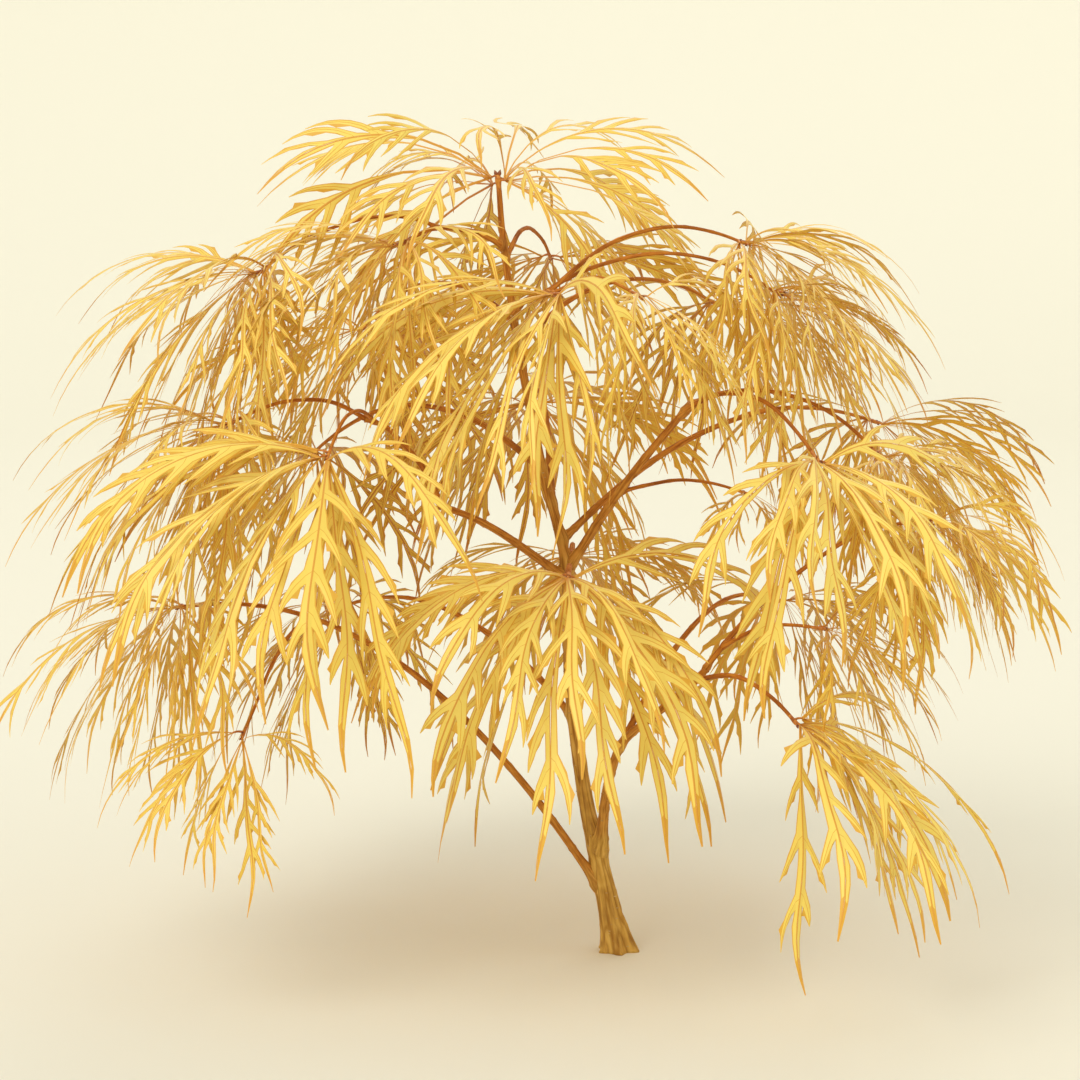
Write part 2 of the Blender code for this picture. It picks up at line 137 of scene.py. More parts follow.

# %% [markdown]
# The masses of foliage
#
# Each mass sits on the tip of the limb that has its name, and the top one on the trunk's. It faces a
# direction in degrees from +X, its lobes spread so far to either side of that, and its highest lobes
# end at a slope of droop degrees. Four columns say what the photo shows of each: how many lobes stand
# for one of the solid's, how broad they are, how bright the tuft is painted, from 0 for ochre to 1 for
# lemon, which is painted light on the front tufts and painted shade on the back and inner ones, and
# how its leaves are cut. The last three say at what slopes the lobes set off, and how many degrees
# are kept free of low lobes, where wood shows.

# %% The masses
COLUMNS = "name lobes length facing spread droop density breadth light cut lowest highest parting"
Mass = namedtuple("Mass", COLUMNS, defaults=("slender", -60, 32, 0))
MASSES = (
    Mass("top", 21, 0.168, -90, 180, -42, 1.7, 1.15, 0.80, "arching", -30, 54, 34),
    Mass("centre", 20, 0.190, -140, 75, -66, 0.9, 1.0, 1.0, "broad"),
    Mass("low_centre", 21, 0.200, -97, 125, -76, 0.95, 1.0, 1.0, "broad"),
    Mass("left_front", 20, 0.218, -135, 85, -74, 0.9, 0.9, 1.0, "broad"),
    Mass("right_front", 18, 0.164, -55, 95, -76, 0.9, 1.0, 1.0, "broad"),
    Mass("low_front_right", 15, 0.180, -25, 76, -76, 0.95, 1.15, 0.95, "broad"),
    Mass("left_outer", 18, 0.178, 182, 105, -62, 1.7, 1.1, 0.70),
    Mass("right_far", 17, 0.130, -8, 105, -74, 1.8, 1.15, 0.75),
    Mass("upper_right", 17, 0.152, -10, 100, -62, 1.8, 1.15, 0.85),
    Mass("upper_left_outer", 18, 0.165, 185, 105, -56, 1.8, 1.15, 0.80),
    Mass("low_left", 17, 0.150, 192, 105, -70, 1.7, 1.1, 0.60),
    Mass("right_outer", 14, 0.126, -50, 85, -78, 1.6, 1.1, 0.60),
    Mass("upper_left", 15, 0.155, -150, 100, -54, 1.9, 1.15, 0.85),
    Mass("upper_right_lower", 11, 0.135, -25, 85, -62, 1.6, 1.15, 0.70),
    Mass("upper_centre", 11, 0.130, -40, 90, -66, 1.0, 1.1, 0.85),
    Mass("low_right", 11, 0.120, -25, 90, -60, 1.4, 1.1, 0.55),
    Mass("low_front_left", 8, 0.112, -115, 75, -72, 1.2, 1.2, 0.75),
    Mass("right_inner", 8, 0.085, -30, 110, -50, 1.1, 1.1, 0.30),
    Mass("back_top", 14, 0.160, 85, 130, -48, 1.5, 1.1, 0.65),
    Mass("back_upper_left", 15, 0.170, 140, 115, -54, 1.5, 1.1, 0.40),
    Mass("back_upper_right", 15, 0.165, 45, 110, -54, 1.5, 1.1, 0.40),
    Mass("back_left", 15, 0.165, 150, 115, -64, 1.5, 1.1, 0.30),
    Mass("back_centre", 16, 0.175, 95, 120, -66, 1.4, 1.1, 0.35),
    Mass("back_right", 15, 0.160, 35, 115, -66, 1.5, 1.1, 0.30),
    Mass("back_low_left", 14, 0.150, 145, 115, -70, 1.5, 1.1, 0.30),
    Mass("back_low_centre", 14, 0.165, 90, 120, -70, 1.5, 1.1, 0.30),
    Mass("back_low_right", 14, 0.155, 40, 115, -70, 1.5, 1.1, 0.30),
)
LIMB_UNDER = {limb.name.rsplit("_", 1)[0]: limb for limb in LIMBS}
print(f"{len(LIMBS)} limbs and {len(MASSES)} masses")

# %% [markdown]
# Lines that limbs follow
#
# The trunk's line is a Catmull-Rom curve, which passes through every point that was chosen for it, and
# so is the second stem's. A bough's line is an arch between its two ends. No real limb is that even,
# so each also strays a little to both sides, and comes back to nothing at its ends.

# %% Lines
TRUNK_RINGS = 320
RING_SPACING = 0.0018
FEWEST_RINGS = 16
STRAY = 0.0016
STRAY_WAVES = (2, 3, 5)
dice = np.random.default_rng(41)


def unit(arrows):
    return arrows / np.linalg.norm(arrows, axis=-1, keepdims=True)


def walked(start, ways, length):
    """The line from start that takes one step along each of these ways."""
    return start + np.vstack([np.zeros(3), np.cumsum(ways * length / len(ways), axis=0)])


def step_middles(steps):
    """How far along the middle of each step is, from 0 to 1."""
    return (np.arange(steps) + 0.5) / steps


def smooth_line(points, steps):
    """A Catmull-Rom curve through the points, read at even shares."""
    known = np.array(points)
    known = np.vstack([2 * known[0] - known[1], known, 2 * known[-1] - known[-2]])
    spans = len(points) - 1
    reading = np.linspace(0, spans, steps + 1)
    first = np.minimum(reading.astype(int), spans - 1)
    t = (reading - first)[:, None]
    a, b, c, d = (known[first + i] for i in range(4))
    bend = (2 * a - 5 * b + 4 * c - d) * t**2 + (3 * b - a - 3 * c + d) * t**3
    return 0.5 * (2 * b + (c - a) * t + bend)


def arched_line(start, tip, rise, steps):
    """The middle line of a bough, which rises above the straight line between its ends."""
    t = np.linspace(0, 1, steps + 1)[:, None]
    return start + (tip - start) * t + UP * (4 * rise * t * (1 - t))


def limb_line(start, limb):
    """A limb's middle line, which strays a little."""
    tip = np.array(limb.tip)
    steps = max(FEWEST_RINGS, int(np.linalg.norm(tip - start) / RING_SPACING))
    if limb.bends:
        line = smooth_line((start, *limb.bends, tip), steps)
    else:
        line = arched_line(start, tip, limb.rise, steps)
    t = np.linspace(0, 1, steps + 1)[:, None]
    for waves in STRAY_WAVES:
        sway = unit(dice.normal(size=3)) * STRAY / waves
        line += sway * np.sin(math.pi * waves * t)
    return line


def point_on(line, share):
    place = share * (len(line) - 1)
    index = int(place)
    return line[index] + (line[index + 1] - line[index]) * (place - index)


LINES = {"trunk": smooth_line(TRUNK_LINE, TRUNK_RINGS)}
for limb in LIMBS:
    LINES[limb.name] = limb_line(point_on(LINES[limb.parent], limb.share), limb)
print(f"the longest limb has {max(len(line) for line in LINES.values())} rings")

# %% [markdown]
# Tubes with relief
#
# Bark could be a bump in the material alone, but then the outline stays as smooth as a pipe. So each
# limb is a tube whose radius is worked out point by point: its taper, a swelling at every leaf scar,
# and shallow furrows that run along it. The furrows lie where a sum of waves is near nothing. Each
# wave goes round a whole number of times, so the relief closes on itself without a seam. The trunk's
# foot runs out in five toes, where its main roots go into the ground, and its rings lie level there.

# %% Relief on a limb
TRUNK_SIDES, BOUGH_SIDES = 96, 40
SCAR_SPACING = 0.027
FIRST_SCAR, NEXT_SCAR = (0.4, 0.8), (0.7, 1.25)
SCAR_WIDTH = 0.0017
FURROW_WAVES = 14
FURROW_TURNS = (2, 10)
FURROW_WIDTH = 0.45
FURROW_TWIST = 0.5
LEVEL_UP_TO = 0.040
Toe = namedtuple("Toe", "bearing reach width height")
TOES = (
    Toe(-12, 0.0085, 24, 0.026),
    Toe(-82, 0.0058, 20, 0.017),
    Toe(-150, 0.0046, 22, 0.014),
    Toe(138, 0.0064, 24, 0.020),
    Toe(62, 0.0052, 20, 0.016),
)


def round_angles(sides):
    return np.arange(sides) * math.tau / sides


def frames(line):
    """The way ahead at each point, and two directions across it that turn as little as they can."""
    ways = unit(np.gradient(line, axis=0))
    if line[0][2] == 0:
        ways = unit(UP + (ways - UP) * np.clip(line[:, 2:] / LEVEL_UP_TO, 0, 1))
    across = [unit(np.cross(ways[0], (0.0, 1.0, 0.0)))]
    for way in ways[1:]:
        across.append(unit(across[-1] - way * (across[-1] @ way)))
    across = np.array(across)
    return ways, across, np.cross(ways, across)


def furrows(angles, along, girth):
    """From 0 on a ridge to 1 in a furrow, for each ring and side."""
    field = np.zeros((len(along), len(angles)))
    for _ in range(FURROW_WAVES):
        turns = dice.integers(*FURROW_TURNS)
        twist = dice.uniform(-1, 1) * FURROW_TWIST / girth
        phase = dice.uniform(0, math.tau)
        field += np.cos(turns * angles[None, :] + twist * along[:, None] + phase) / math.sqrt(turns)
    return np.exp(-((field / FURROW_WIDTH) ** 2))


def scars(along):
    """A swelling at each leaf scar, from 0 to 1 for each ring."""
    swelling = np.zeros(len(along))
    place = SCAR_SPACING * dice.uniform(*FIRST_SCAR)
    while place < along[-1]:
        swelling += np.exp(-(((along - place) / SCAR_WIDTH) ** 2))
        place += SCAR_SPACING * dice.uniform(*NEXT_SCAR)
    return swelling


def length_along(line):
    return np.concatenate([[0], np.cumsum(np.linalg.norm(np.diff(line, axis=0), axis=1))])


def tapered(line, base, tip, power, sides):
    """A limb's radius for each ring and side, before any relief."""
    share = np.linspace(0, 1, len(line))[:, None]
    return (base + (tip - base) * share**power) * np.ones(sides)


def trunk_radii(line):
    """The trunk's radii, with the toes at its foot. An angle of 0 is at -X there."""
    radii = tapered(line, TRUNK_FOOT_RADIUS, TRUNK_TIP_RADIUS, TRUNK_TAPER, TRUNK_SIDES)
    for toe in TOES:
        aside = (np.degrees(round_angles(TRUNK_SIDES)) - toe.bearing) % 360 - 180
        radii += toe.reach * np.exp(-line[:, 2:] / toe.height) * np.exp(-((aside / toe.width) ** 2))
    return radii


# %% [markdown]
# Forks
#
# Two tubes that cross meet in a hard crease, but real wood fills a fork. A Boolean and a remesh would
# round it, at the price of one welded mesh and no grain. Here both limbs swell towards each other
# instead: the nearer a point is to the other limb, the further out it stands, and where the two
# surfaces meet they have swollen equally and lean the same way. A child's first rings are narrower,
# so that its end stays hidden in its parent's wood.

# %% Fillets at forks
FILLET_SIZE = 2.6
FILLET_RISE = 0.30
OUTSIDE = 0.75
STRETCH_RINGS = 30
COARSE = 4
SUNK_LENGTH = 2.4
SUNK_END = 0.45


def room_to(points, line, radii):
    """How far each point is outside a tube with this line and these radii."""
    starts, steps = line[:-1], np.diff(line, axis=0)
    share = ((points[:, None, :] - starts) * steps).sum(axis=2) / (steps**2).sum(axis=1)
    share = np.clip(share, 0, 1)
    gaps = np.linalg.norm(points[:, None, :] - starts - share[..., None] * steps, axis=2)
    return (gaps - radii[:-1] - share * np.diff(radii)).min(axis=1)


def fillet(points, line, radii, size):
    """How much further out each point stands, most where it meets the tube with this line and radii."""
    rise = np.zeros(len(points))
    gaps = np.linalg.norm(points[:, None, :] - line[None, ::COARSE, :], axis=2).min(axis=1)
    near = gaps < radii.max() + 2 * size
    if near.any():
        closeness = np.clip(1 - np.abs(room_to(points[near], line, radii)) / size, 0, 1)
        rise[near] = FILLET_RISE * size * closeness**2
    return rise


def outer_stretch(child, parent):
    """The stretch of a child's line and radii from where it leaves the parent's wood."""
    line, radii = LINES[child], RADII[child].mean(axis=1)
    room = room_to(line, LINES[parent], OUTSIDE * RADII[parent].mean(axis=1))
    first = int(np.argmax(room > 0))
    last = first + STRETCH_RINGS
    return line[first:last], radii[first:last]


# %% [markdown]
# From a grid of points to a mesh
#
# The rings of a tube make a grid, and its faces follow from the grid's own numbering. The mesh also
# carries three attributes for its material: the place of each point on the straightened limb, so that
# streaks run along it whichever way it bends, the limb's radius there, and how deep in a furrow it is.

# %% Tubes
def tube_faces(rings, sides):
    ring, side = np.meshgrid(np.arange(rings - 1), np.arange(sides), indexing="ij")
    after, low, high = (side + 1) % sides, ring * sides, (ring + 1) * sides
    corners = low + side, low + after, high + after, high + side
    faces = np.stack(corners, axis=-1).reshape(-1, 4).tolist()
    last = (rings - 1) * sides
    return [list(reversed(range(sides))), *faces, list(range(last, last + sides))]


def tube_points(line, radii):
    """The rings of a tube with a radius for each ring and side."""
    _, across, beside = frames(line)
    angles = round_angles(radii.shape[1])
    cos, sin = np.cos(angles)[None, :, None], np.sin(angles)[None, :, None]
    return line[:, None, :] + (across[:, None, :] * cos + beside[:, None, :] * sin) * radii[:, :, None]


def add_attribute(mesh, name, values):
    """One number or one arrow per point, under a name that nodes can read."""
    values = np.asarray(values, dtype=np.float32)
    arrows = values.ndim == 2
    mesh.attributes.new(name, "FLOAT_VECTOR" if arrows else "FLOAT", "POINT")
    mesh.attributes[name].data.foreach_set("vector" if arrows else "value", values.ravel())


def drawn_mesh(name, points, edges, faces, **values):
    """A smooth mesh that carries these values, each with one entry per point."""
    mesh = bpy.data.meshes.new(name)
    mesh.from_pydata(np.reshape(points, (-1, 3)).tolist(), edges, faces)
    for key, value in values.items():
        add_attribute(mesh, key, value)
    mesh.shade_smooth()
    return mesh


def tube_mesh(name, line, radii, furrowed):
    """A closed tube with the attributes that the bark reads."""
    rings, sides = radii.shape
    angles = round_angles(sides)
    along = np.repeat(length_along(line)[:, None], sides, axis=1)
    grain = np.stack([radii * np.cos(angles), radii * np.sin(angles), along], axis=-1).reshape(-1, 3)
    girth = np.repeat(radii.mean(axis=1), sides)
    points, faces = tube_points(line, radii), tube_faces(rings, sides)
    return drawn_mesh(name, points, [], faces, grain=grain, girth=girth, furrow=furrowed.ravel())


def placed(name, data):
    """A new object in the scene, at the origin."""
    thing = bpy.data.objects.new(name, data)
    bpy.context.scene.collection.objects.link(thing)
    return thing


def shown(name, mesh, slot, *nodes):
    """Puts a finished mesh in the scene as one piece that stands for its CAD nodes."""
    thing = placed(name, mesh)
    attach(thing, BODY)
    if nodes:
        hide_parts(*nodes)


# %% [markdown]
# Materials from nodes
#
# A small helper adds a node, joins its inputs and gives its output, so that each material reads as a
# list of steps. A value that is the same all over stays on the shader's own socket.

# %% Node helpers
SKIN_DEPTH = 0.0003


def new_material(name, values):
    """A material, its tree and its shader, which has these values on its own sockets."""
    made = bpy.data.materials.new(name)
    made.use_nodes = True
    shader = made.node_tree.nodes["Principled BSDF"]
    for socket, value in values.items():
        shader.inputs[socket].default_value = value
    return made, made.node_tree, shader


def new_node(tree, kind, inputs=None, **settings):
    """Adds a node. Each input is a value, or the output socket of another node."""
    made = tree.nodes.new(kind)
    for key, value in settings.items():
        setattr(made, key, value)
    for key, value in (inputs or {}).items():
        if isinstance(value, bpy.types.NodeSocket):
            tree.links.new(value, made.inputs[key])
        else:
            made.inputs[key].default_value = value
    return made


def add(tree, kind, inputs=None, output=0, **settings):
    """Adds a node and gives one of its outputs."""
    return new_node(tree, kind, inputs, **settings).outputs[output]


def ramp(tree, source, stops):
    """Colours at places from 0 to 1, read at the source's value."""
    made = new_node(tree, "ShaderNodeValToRGB", {"Fac": source})
    elements = made.color_ramp.elements
    while len(elements) < len(stops):
        elements.new(0.5)
    for element, (place, colour) in zip(elements, stops):
        element.position = place
        element.color = (*colour, 1.0)
    return made.outputs["Color"]


def noise(tree, place, scale, detail=3.0):
    return add(tree, "ShaderNodeTexNoise", {"Vector": place, "Scale": scale, "Detail": detail})


def attribute(tree, name):
    return new_node(tree, "ShaderNodeAttribute", attribute_name=name).outputs


def roughen(tree, shader, height, strength, depth):
    """Lets a height field show as fine relief."""
    bump = new_node(tree, "ShaderNodeBump", {"Height": height, "Strength": strength, "Distance": depth})
    tree.links.new(bump.outputs[0], shader.inputs["Normal"])


def fine_skin(tree, shader, scale, strength):
    """A fine bump that is even all over a piece. Gives the place that it reads."""
    place = add(tree, "ShaderNodeTexCoord", output="Object")
    roughen(tree, shader, noise(tree, place, scale), strength, SKIN_DEPTH)
    return place


def mixed(tree, share, low, high, **settings):
    """One colour at share 0 and the other at 1."""
    colours = {0: share, 6: low, 7: high}
    return add(tree, "ShaderNodeMix", colours, output=2, data_type="RGBA", **settings)


def rescaled(tree, source, before=(0.0, 1.0), after=(0.0, 1.0)):
    """The source's value, carried from one range to the other."""
    return add(tree, "ShaderNodeMapRange", dict(enumerate((source, *before, *after))))


# %% [markdown]
# Bark
#
# Young maple bark is thin and close. It is red-brown on thin wood and turns ochre brown as the wood
# thickens, so one material serves all the limbs and reads the girth. Its colour runs in streaks along
# the limb: the noise reads the grain attribute, squeezed along the limb, so each fleck is long and
# narrow. The furrows are painted darker than the ridges, as painted shade in the recesses, and they
# are duller. Stalks, buds and lenticels have a smoother skin, mottled between two colours.

# %% Bark materials
STREAK, STREAK_DETAIL, SQUEEZE = 420.0, 4.0, 0.10
BLOTCH, BLOTCH_SHARE = 55.0, 0.42
CRACK, CRACK_DETAIL = 3 * STREAK, 5.0
CRACK_STRENGTH, CRACK_DEPTH = 0.5, 0.0004
MOTTLE, PORES, PORE_STRENGTH = 260.0, 1500.0, 0.3
BARK_SHINE = 0.25
RIDGE_ROUGHNESS, FURROW_ROUGHNESS = (0.50, 0.70), 0.2
THIN_WOOD, THICK_WOOD = 0.0018, 0.0056
STALK_RADIUS = 0.00075
TURNS_FROM = 1.2 * STALK_RADIUS
YOUNG_STOPS = ((0.34, (0.290, 0.078, 0.008)), (0.50, (0.540, 0.178, 0.015)), (0.66, (0.700, 0.285, 0.028)))
OLD_STOPS = ((0.34, (0.380, 0.180, 0.030)), (0.50, (0.620, 0.350, 0.064)), (0.66, (0.780, 0.500, 0.130)))
STALK_STOPS = ((0.36, (0.440, 0.120, 0.012)), (0.64, (0.680, 0.260, 0.028)))
BUD_STOPS = ((0.36, (0.170, 0.042, 0.010)), (0.64, (0.360, 0.105, 0.020)))
CORK_STOPS = ((0.36, (0.420, 0.250, 0.080)), (0.64, (0.640, 0.430, 0.170)))
# The colour that the furrows are multiplied by, as painted shade in them
FURROW_SHADE = (0.66, 0.56, 0.46, 1.0)


def bark_material():
    made, tree, shader = new_material("maple_bark", {"Specular IOR Level": BARK_SHINE})
    grain, girth, furrow = (attribute(tree, name) for name in ("grain", "girth", "furrow"))
    place = grain["Vector"]
    squeezed = add(tree, "ShaderNodeMapping", {"Vector": place, "Scale": (1.0, 1.0, SQUEEZE)})
    streaks = noise(tree, squeezed, STREAK, STREAK_DETAIL)
    blotches = noise(tree, place, BLOTCH)
    both = add(tree, "ShaderNodeMix", {0: BLOTCH_SHARE, 2: streaks, 3: blotches})
    age = rescaled(tree, girth["Fac"], before=(THIN_WOOD, THICK_WOOD))
    colour = mixed(tree, age, ramp(tree, both, YOUNG_STOPS), ramp(tree, both, OLD_STOPS))
    # Painted shade: the deeper a point lies in a furrow, the darker its colour is multiplied
    colour = mixed(tree, furrow["Fac"], colour, FURROW_SHADE, blend_type="MULTIPLY")
    tree.links.new(colour, shader.inputs["Base Color"])
    parts = {0: furrow["Fac"], 1: FURROW_ROUGHNESS, 2: rescaled(tree, streaks, after=RIDGE_ROUGHNESS)}
    dull = add(tree, "ShaderNodeMath", parts, operation="MULTIPLY_ADD")
    tree.links.new(dull, shader.inputs["Roughness"])
    roughen(tree, shader, noise(tree, squeezed, CRACK, CRACK_DETAIL), CRACK_STRENGTH, CRACK_DEPTH)
    return made


def twig_material(name, roughness, stops, stem_stops=None):
    """A smooth skin, mottled from one colour to the other. It may turn to the stem's where it is thicker."""
    made, tree, shader = new_material(name, {"Roughness": roughness})
    mottle = noise(tree, fine_skin(tree, shader, PORES, PORE_STRENGTH), MOTTLE)
    colour = ramp(tree, mottle, stops)
    if stem_stops:
        age = rescaled(tree, attribute(tree, "thickness")["Fac"], before=(TURNS_FROM, THIN_WOOD))
        colour = mixed(tree, age, colour, ramp(tree, mottle, stem_stops))
    tree.links.new(colour, shader.inputs["Base Color"])
    return made


BARK = bark_material()
STALK_BARK = twig_material("leaf_stalk", 0.45, STALK_STOPS, YOUNG_STOPS)
BUD_BARK = twig_material("bud_scales", 0.5, BUD_STOPS)
LENTICEL_CORK = twig_material("lenticel_cork", 0.85, CORK_STOPS)

# %% Make the limbs
TRUNK_FURROWS, BOUGH_FURROWS = 0.07, 0.03
TRUNK_SWELLING, BOUGH_SWELLING = 0.03, 0.13
RADII = {"trunk": trunk_radii(LINES["trunk"])}
for limb in LIMBS:
    RADII[limb.name] = tapered(LINES[limb.name], limb.base_radius, limb.tip_radius, 1, BOUGH_SIDES)


def with_fillets(name, radii):
    """The radii, swollen towards the limb's parent and towards each of its children."""
    line = LINES[name]
    points = tube_points(line, radii).reshape(-1, 3)
    rise = np.zeros(len(points))
    for limb in LIMBS:
        if limb.name == name:
            parent = LINES[limb.parent], RADII[limb.parent].mean(axis=1)
            rise = np.maximum(rise, fillet(points, *parent, FILLET_SIZE * limb.base_radius))
        if limb.parent == name:
            child = outer_stretch(limb.name, name)
            rise = np.maximum(rise, fillet(points, *child, FILLET_SIZE * limb.base_radius))
    whole = radii + rise.reshape(radii.shape)
    if name == "trunk":
        return whole
    sunk = np.interp(length_along(line), (0, SUNK_LENGTH * radii[0, 0]), (SUNK_END, 1))
    return whole * sunk[:, None]


def make_limb(name, slot, depth, swelling):
    line, plain = LINES[name], RADII[name]
    angles = round_angles(plain.shape[1])
    along = length_along(line)
    furrowed = furrows(angles, along, plain.mean())
    relief = 1 - depth * furrowed + swelling * scars(along)[:, None]
    mesh = tube_mesh(name + "_bark", line, with_fillets(name, plain) * relief, furrowed)
    mesh.materials.append(BARK)
    shown(name + "_bark", mesh, slot, name)


make_limb("trunk", "bark", TRUNK_FURROWS, TRUNK_SWELLING)
for limb in LIMBS:
    slot = "bark" if limb.name == "second_stem" else "twigs"
    make_limb(limb.name, slot, BOUGH_FURROWS, BOUGH_SWELLING)
print(f"{len(RADII)} limbs have their bark")

# %% [markdown]
# A cut leaf, flat on the table
#
# A laceleaf's leaf is cut into lobes, and each lobe is cut again into long side segments that point
# forward. It is easiest to draw one lobe flat: u runs along its rib, v aside from it and h up from its
# face, all as shares of the lobe's length. Each side of a lobe is drawn as rows that go out from the
# rib. Between two cuts, the blade widens to a shoulder, and there the rows end where a segment begins,
# so a lobe is one sheet, as a real one is. Separate blades laid over one another would be easier, but
# their outlines would cross on the lobe's face.

# %% Drawing a lobe
EDGE_ZONE, BLADE_ZONE, RIB_ZONE = 0, 1, 2
# Widths, and the most of a narrow blade's half width that each may take
EDGE_WIDTH, EDGE_SHARE = 0.0034, 0.35
RIB_WIDTH, RIB_SHARE = 0.0028, 0.5
VEIN_WIDTH, VEIN_SHARE = 0.0013, 0.2
FOLD = 0.30
SLANT = 0.9
Style = namedtuple("Style", "half_width segment_width reach cuts angle stalk bare_zone")
STYLES = {
    "broad": Style(0.0285, 0.0150, 0.19, (2, 5), (28, 44), (0.03, 0.09), EDGE_ZONE),
    "slender": Style(0.0150, 0.0096, 0.24, (3, 5), (22, 36), (0.04, 0.15), EDGE_ZONE),
    "arching": Style(0.0150, 0.0100, 0.24, (2, 5), (24, 38), (0.16, 0.36), RIB_ZONE),
}
PROFILE_AT = (0.0, 0.06, 0.14, 0.30, 0.45, 0.60, 0.75, 0.88, 1.0)
PROFILE = (0.26, 0.32, 0.48, 0.82, 1.00, 0.86, 0.64, 0.42, 0.09)


class Drawing:
    """The points and faces of one side of a lobe, as they are drawn."""

    def __init__(self):
        self.points, self.quads, self.zones = [], [], []

    def dot(self, u, v, h):
        self.points.append((u, v, h))
        return len(self.points) - 1

    def row(self, u, v, to_margin=True):
        """The dots from the rib out to v: on it and beside it, then within the edge and at the margin."""
        beside = min(RIB_WIDTH, RIB_SHARE * v)
        root = u - SLANT * v
        dots = [self.dot(root, 0.0, 0.0), self.dot(root + SLANT * beside, beside, -FOLD * beside)]
        if to_margin:
            within = v - min(EDGE_WIDTH, EDGE_SHARE * v)
            dots += [self.dot(u, within, -FOLD * within), self.dot(u, v, -FOLD * v)]
        return dots

    def strip(self, low, high, zones):
        """Faces between two rows of dots, one zone for each pair of neighbours."""
        for index, zone in enumerate(zones):
            self.quads.append((low[index], high[index], high[index + 1], low[index + 1]))
            self.zones.append(zone)


# %% [markdown]
# Segments
#
# A segment takes over the dots where its blade leaves the lobe, and carries them on to a pointed end.
# Its front margin sets off from the cut along the segment's own heading, so each cut closes to a
# sharp V. A vein runs along its middle, and one tooth stands out from one of its margins.

# %% Drawing a segment
SEGMENT_STATIONS = 6
SEGMENT_AT = (0, 0.2, 0.45, 0.7, 1)
SEGMENT_PROFILE = (1.15, 1.0, 0.85, 0.60, 0.10)
SEGMENT_EDGE_SHARE = 0.4
STRAIGHTEN, CURL = (0.3, 0.75), (-0.05, 0.16)
JAG = 0.10
TOOTH = 0.9
TOOTH_AHEAD = 0.010
Fork = namedtuple("Fork", "cut depth angle width length")


def draw_segment(sheet, base, fork):
    """A segment whose base is six dots, from the shoulder behind it to the cut before it."""
    straighten, curl = dice.uniform(*STRAIGHTEN), dice.uniform(*CURL)
    u, v = fork.cut - fork.width * math.sin(fork.angle), fork.depth + fork.width * math.cos(fork.angle)
    height = (sheet.points[base[2]][2] + sheet.points[base[3]][2]) / 2
    tooth_at, tooth_side = dice.integers(2, SEGMENT_STATIONS - 1), dice.integers(2)
    step_length = fork.length / SEGMENT_STATIONS
    low = base
    for step in range(1, SEGMENT_STATIONS + 1):
        way = step / SEGMENT_STATIONS
        turn = fork.angle * (1 + (straighten - 1) * way)
        ahead, aside = math.cos(turn), math.sin(turn)
        u, v = u + ahead * step_length, v + aside * step_length
        half = fork.width * float(np.interp(way, SEGMENT_AT, SEGMENT_PROFILE))
        edge = min(EDGE_WIDTH, SEGMENT_EDGE_SHARE * half)
        vein = min(VEIN_WIDTH, VEIN_SHARE * half)
        tooth = np.eye(2)[tooth_side] * (step == tooth_at)
        jags = half * (1 + JAG * dice.normal(size=2) * (step < SEGMENT_STATIONS) + TOOTH * tooth)
        outs = np.array((jags[0], half - edge, vein, -vein, edge - half, -jags[1]))
        forward = np.array((tooth[0], 0, 0, 0, 0, tooth[1])) * TOOTH_AHEAD
        heights = height - curl * fork.length * way**2 - FOLD * np.abs(outs)
        across = zip(u + forward * ahead - outs * aside, v + forward * aside + outs * ahead, heights)
        high = [sheet.dot(*dot) for dot in across]
        sheet.strip(low, high, (EDGE_ZONE, BLADE_ZONE, EDGE_ZONE, BLADE_ZONE, EDGE_ZONE))
        low = high


# %% [markdown]
# Half a lobe
#
# The half starts as a stalk. Before every cut it widens to a shoulder, where a segment leaves it, and
# behind the cut it is narrow again. It runs out in a long tip.

# %% Drawing half a lobe
TIP_FROM = 0.90
ROWS_TO_TIP = 5
ROW_WIDTHS = (0.9, 1.1)
FIRST_CUT, LAST_CUT, CUT_STRAY = (0.14, 0.24), (0.62, 0.76), 0.14
CUT_DEPTHS = (0.45, 0.75)
# What the segments nearest the tip lose of their angle and of their length
ANGLE_LOSS, LENGTH_LOSS = 0.35, 0.5
SEGMENT_LENGTHS, SEGMENT_WIDTHS = (0.7, 1.25), (0.75, 1.15)
SHOULDERS = (0.95, 1.15)
WIDENING = ((0.25, 0.15), (0.6, 0.6), (1.0, 1.0))
LEAST_WIDENING = 0.35
FILLET = 0.010
# A segment's vein starts no nearer the rib than this share of the cut's depth, and no further out
# than this share of the shoulder
VEIN_FOOT = (0.6, 0.95)
VEIN_FOOT_FOLD = 0.5 * FOLD


def half_width(style, stalk, u):
    """Half the blade's width at u. The profile is read past the stalk."""
    return style.half_width * float(np.interp((u - stalk) / (1 - stalk), PROFILE_AT, PROFILE))


def draw_rows(sheet, style, stalk, low, places):
    """Plain rows with a margin, joined one to the next. Gives the last."""
    for u in places:
        high = sheet.row(u, half_width(style, stalk, u) * dice.uniform(*ROW_WIDTHS))
        if low and u <= stalk:
            sheet.strip(low, high, (RIB_ZONE, style.bare_zone, style.bare_zone))
        elif low:
            sheet.strip(low, high, (RIB_ZONE, EDGE_ZONE if u > TIP_FROM else BLADE_ZONE, EDGE_ZONE))
        low = high
    return low


def rolled_fork(style, stalk, cut, share):
    """The sizes of the segment behind one cut. Near the tip it is shorter and leans forward more."""
    depth = half_width(style, stalk, cut) * dice.uniform(*CUT_DEPTHS)
    angle = math.radians(dice.uniform(*style.angle)) * (1 - ANGLE_LOSS * share)
    length = style.reach * (1 - LENGTH_LOSS * share) * dice.uniform(*SEGMENT_LENGTHS)
    return Fork(cut, depth, angle, style.segment_width * dice.uniform(*SEGMENT_WIDTHS), length)


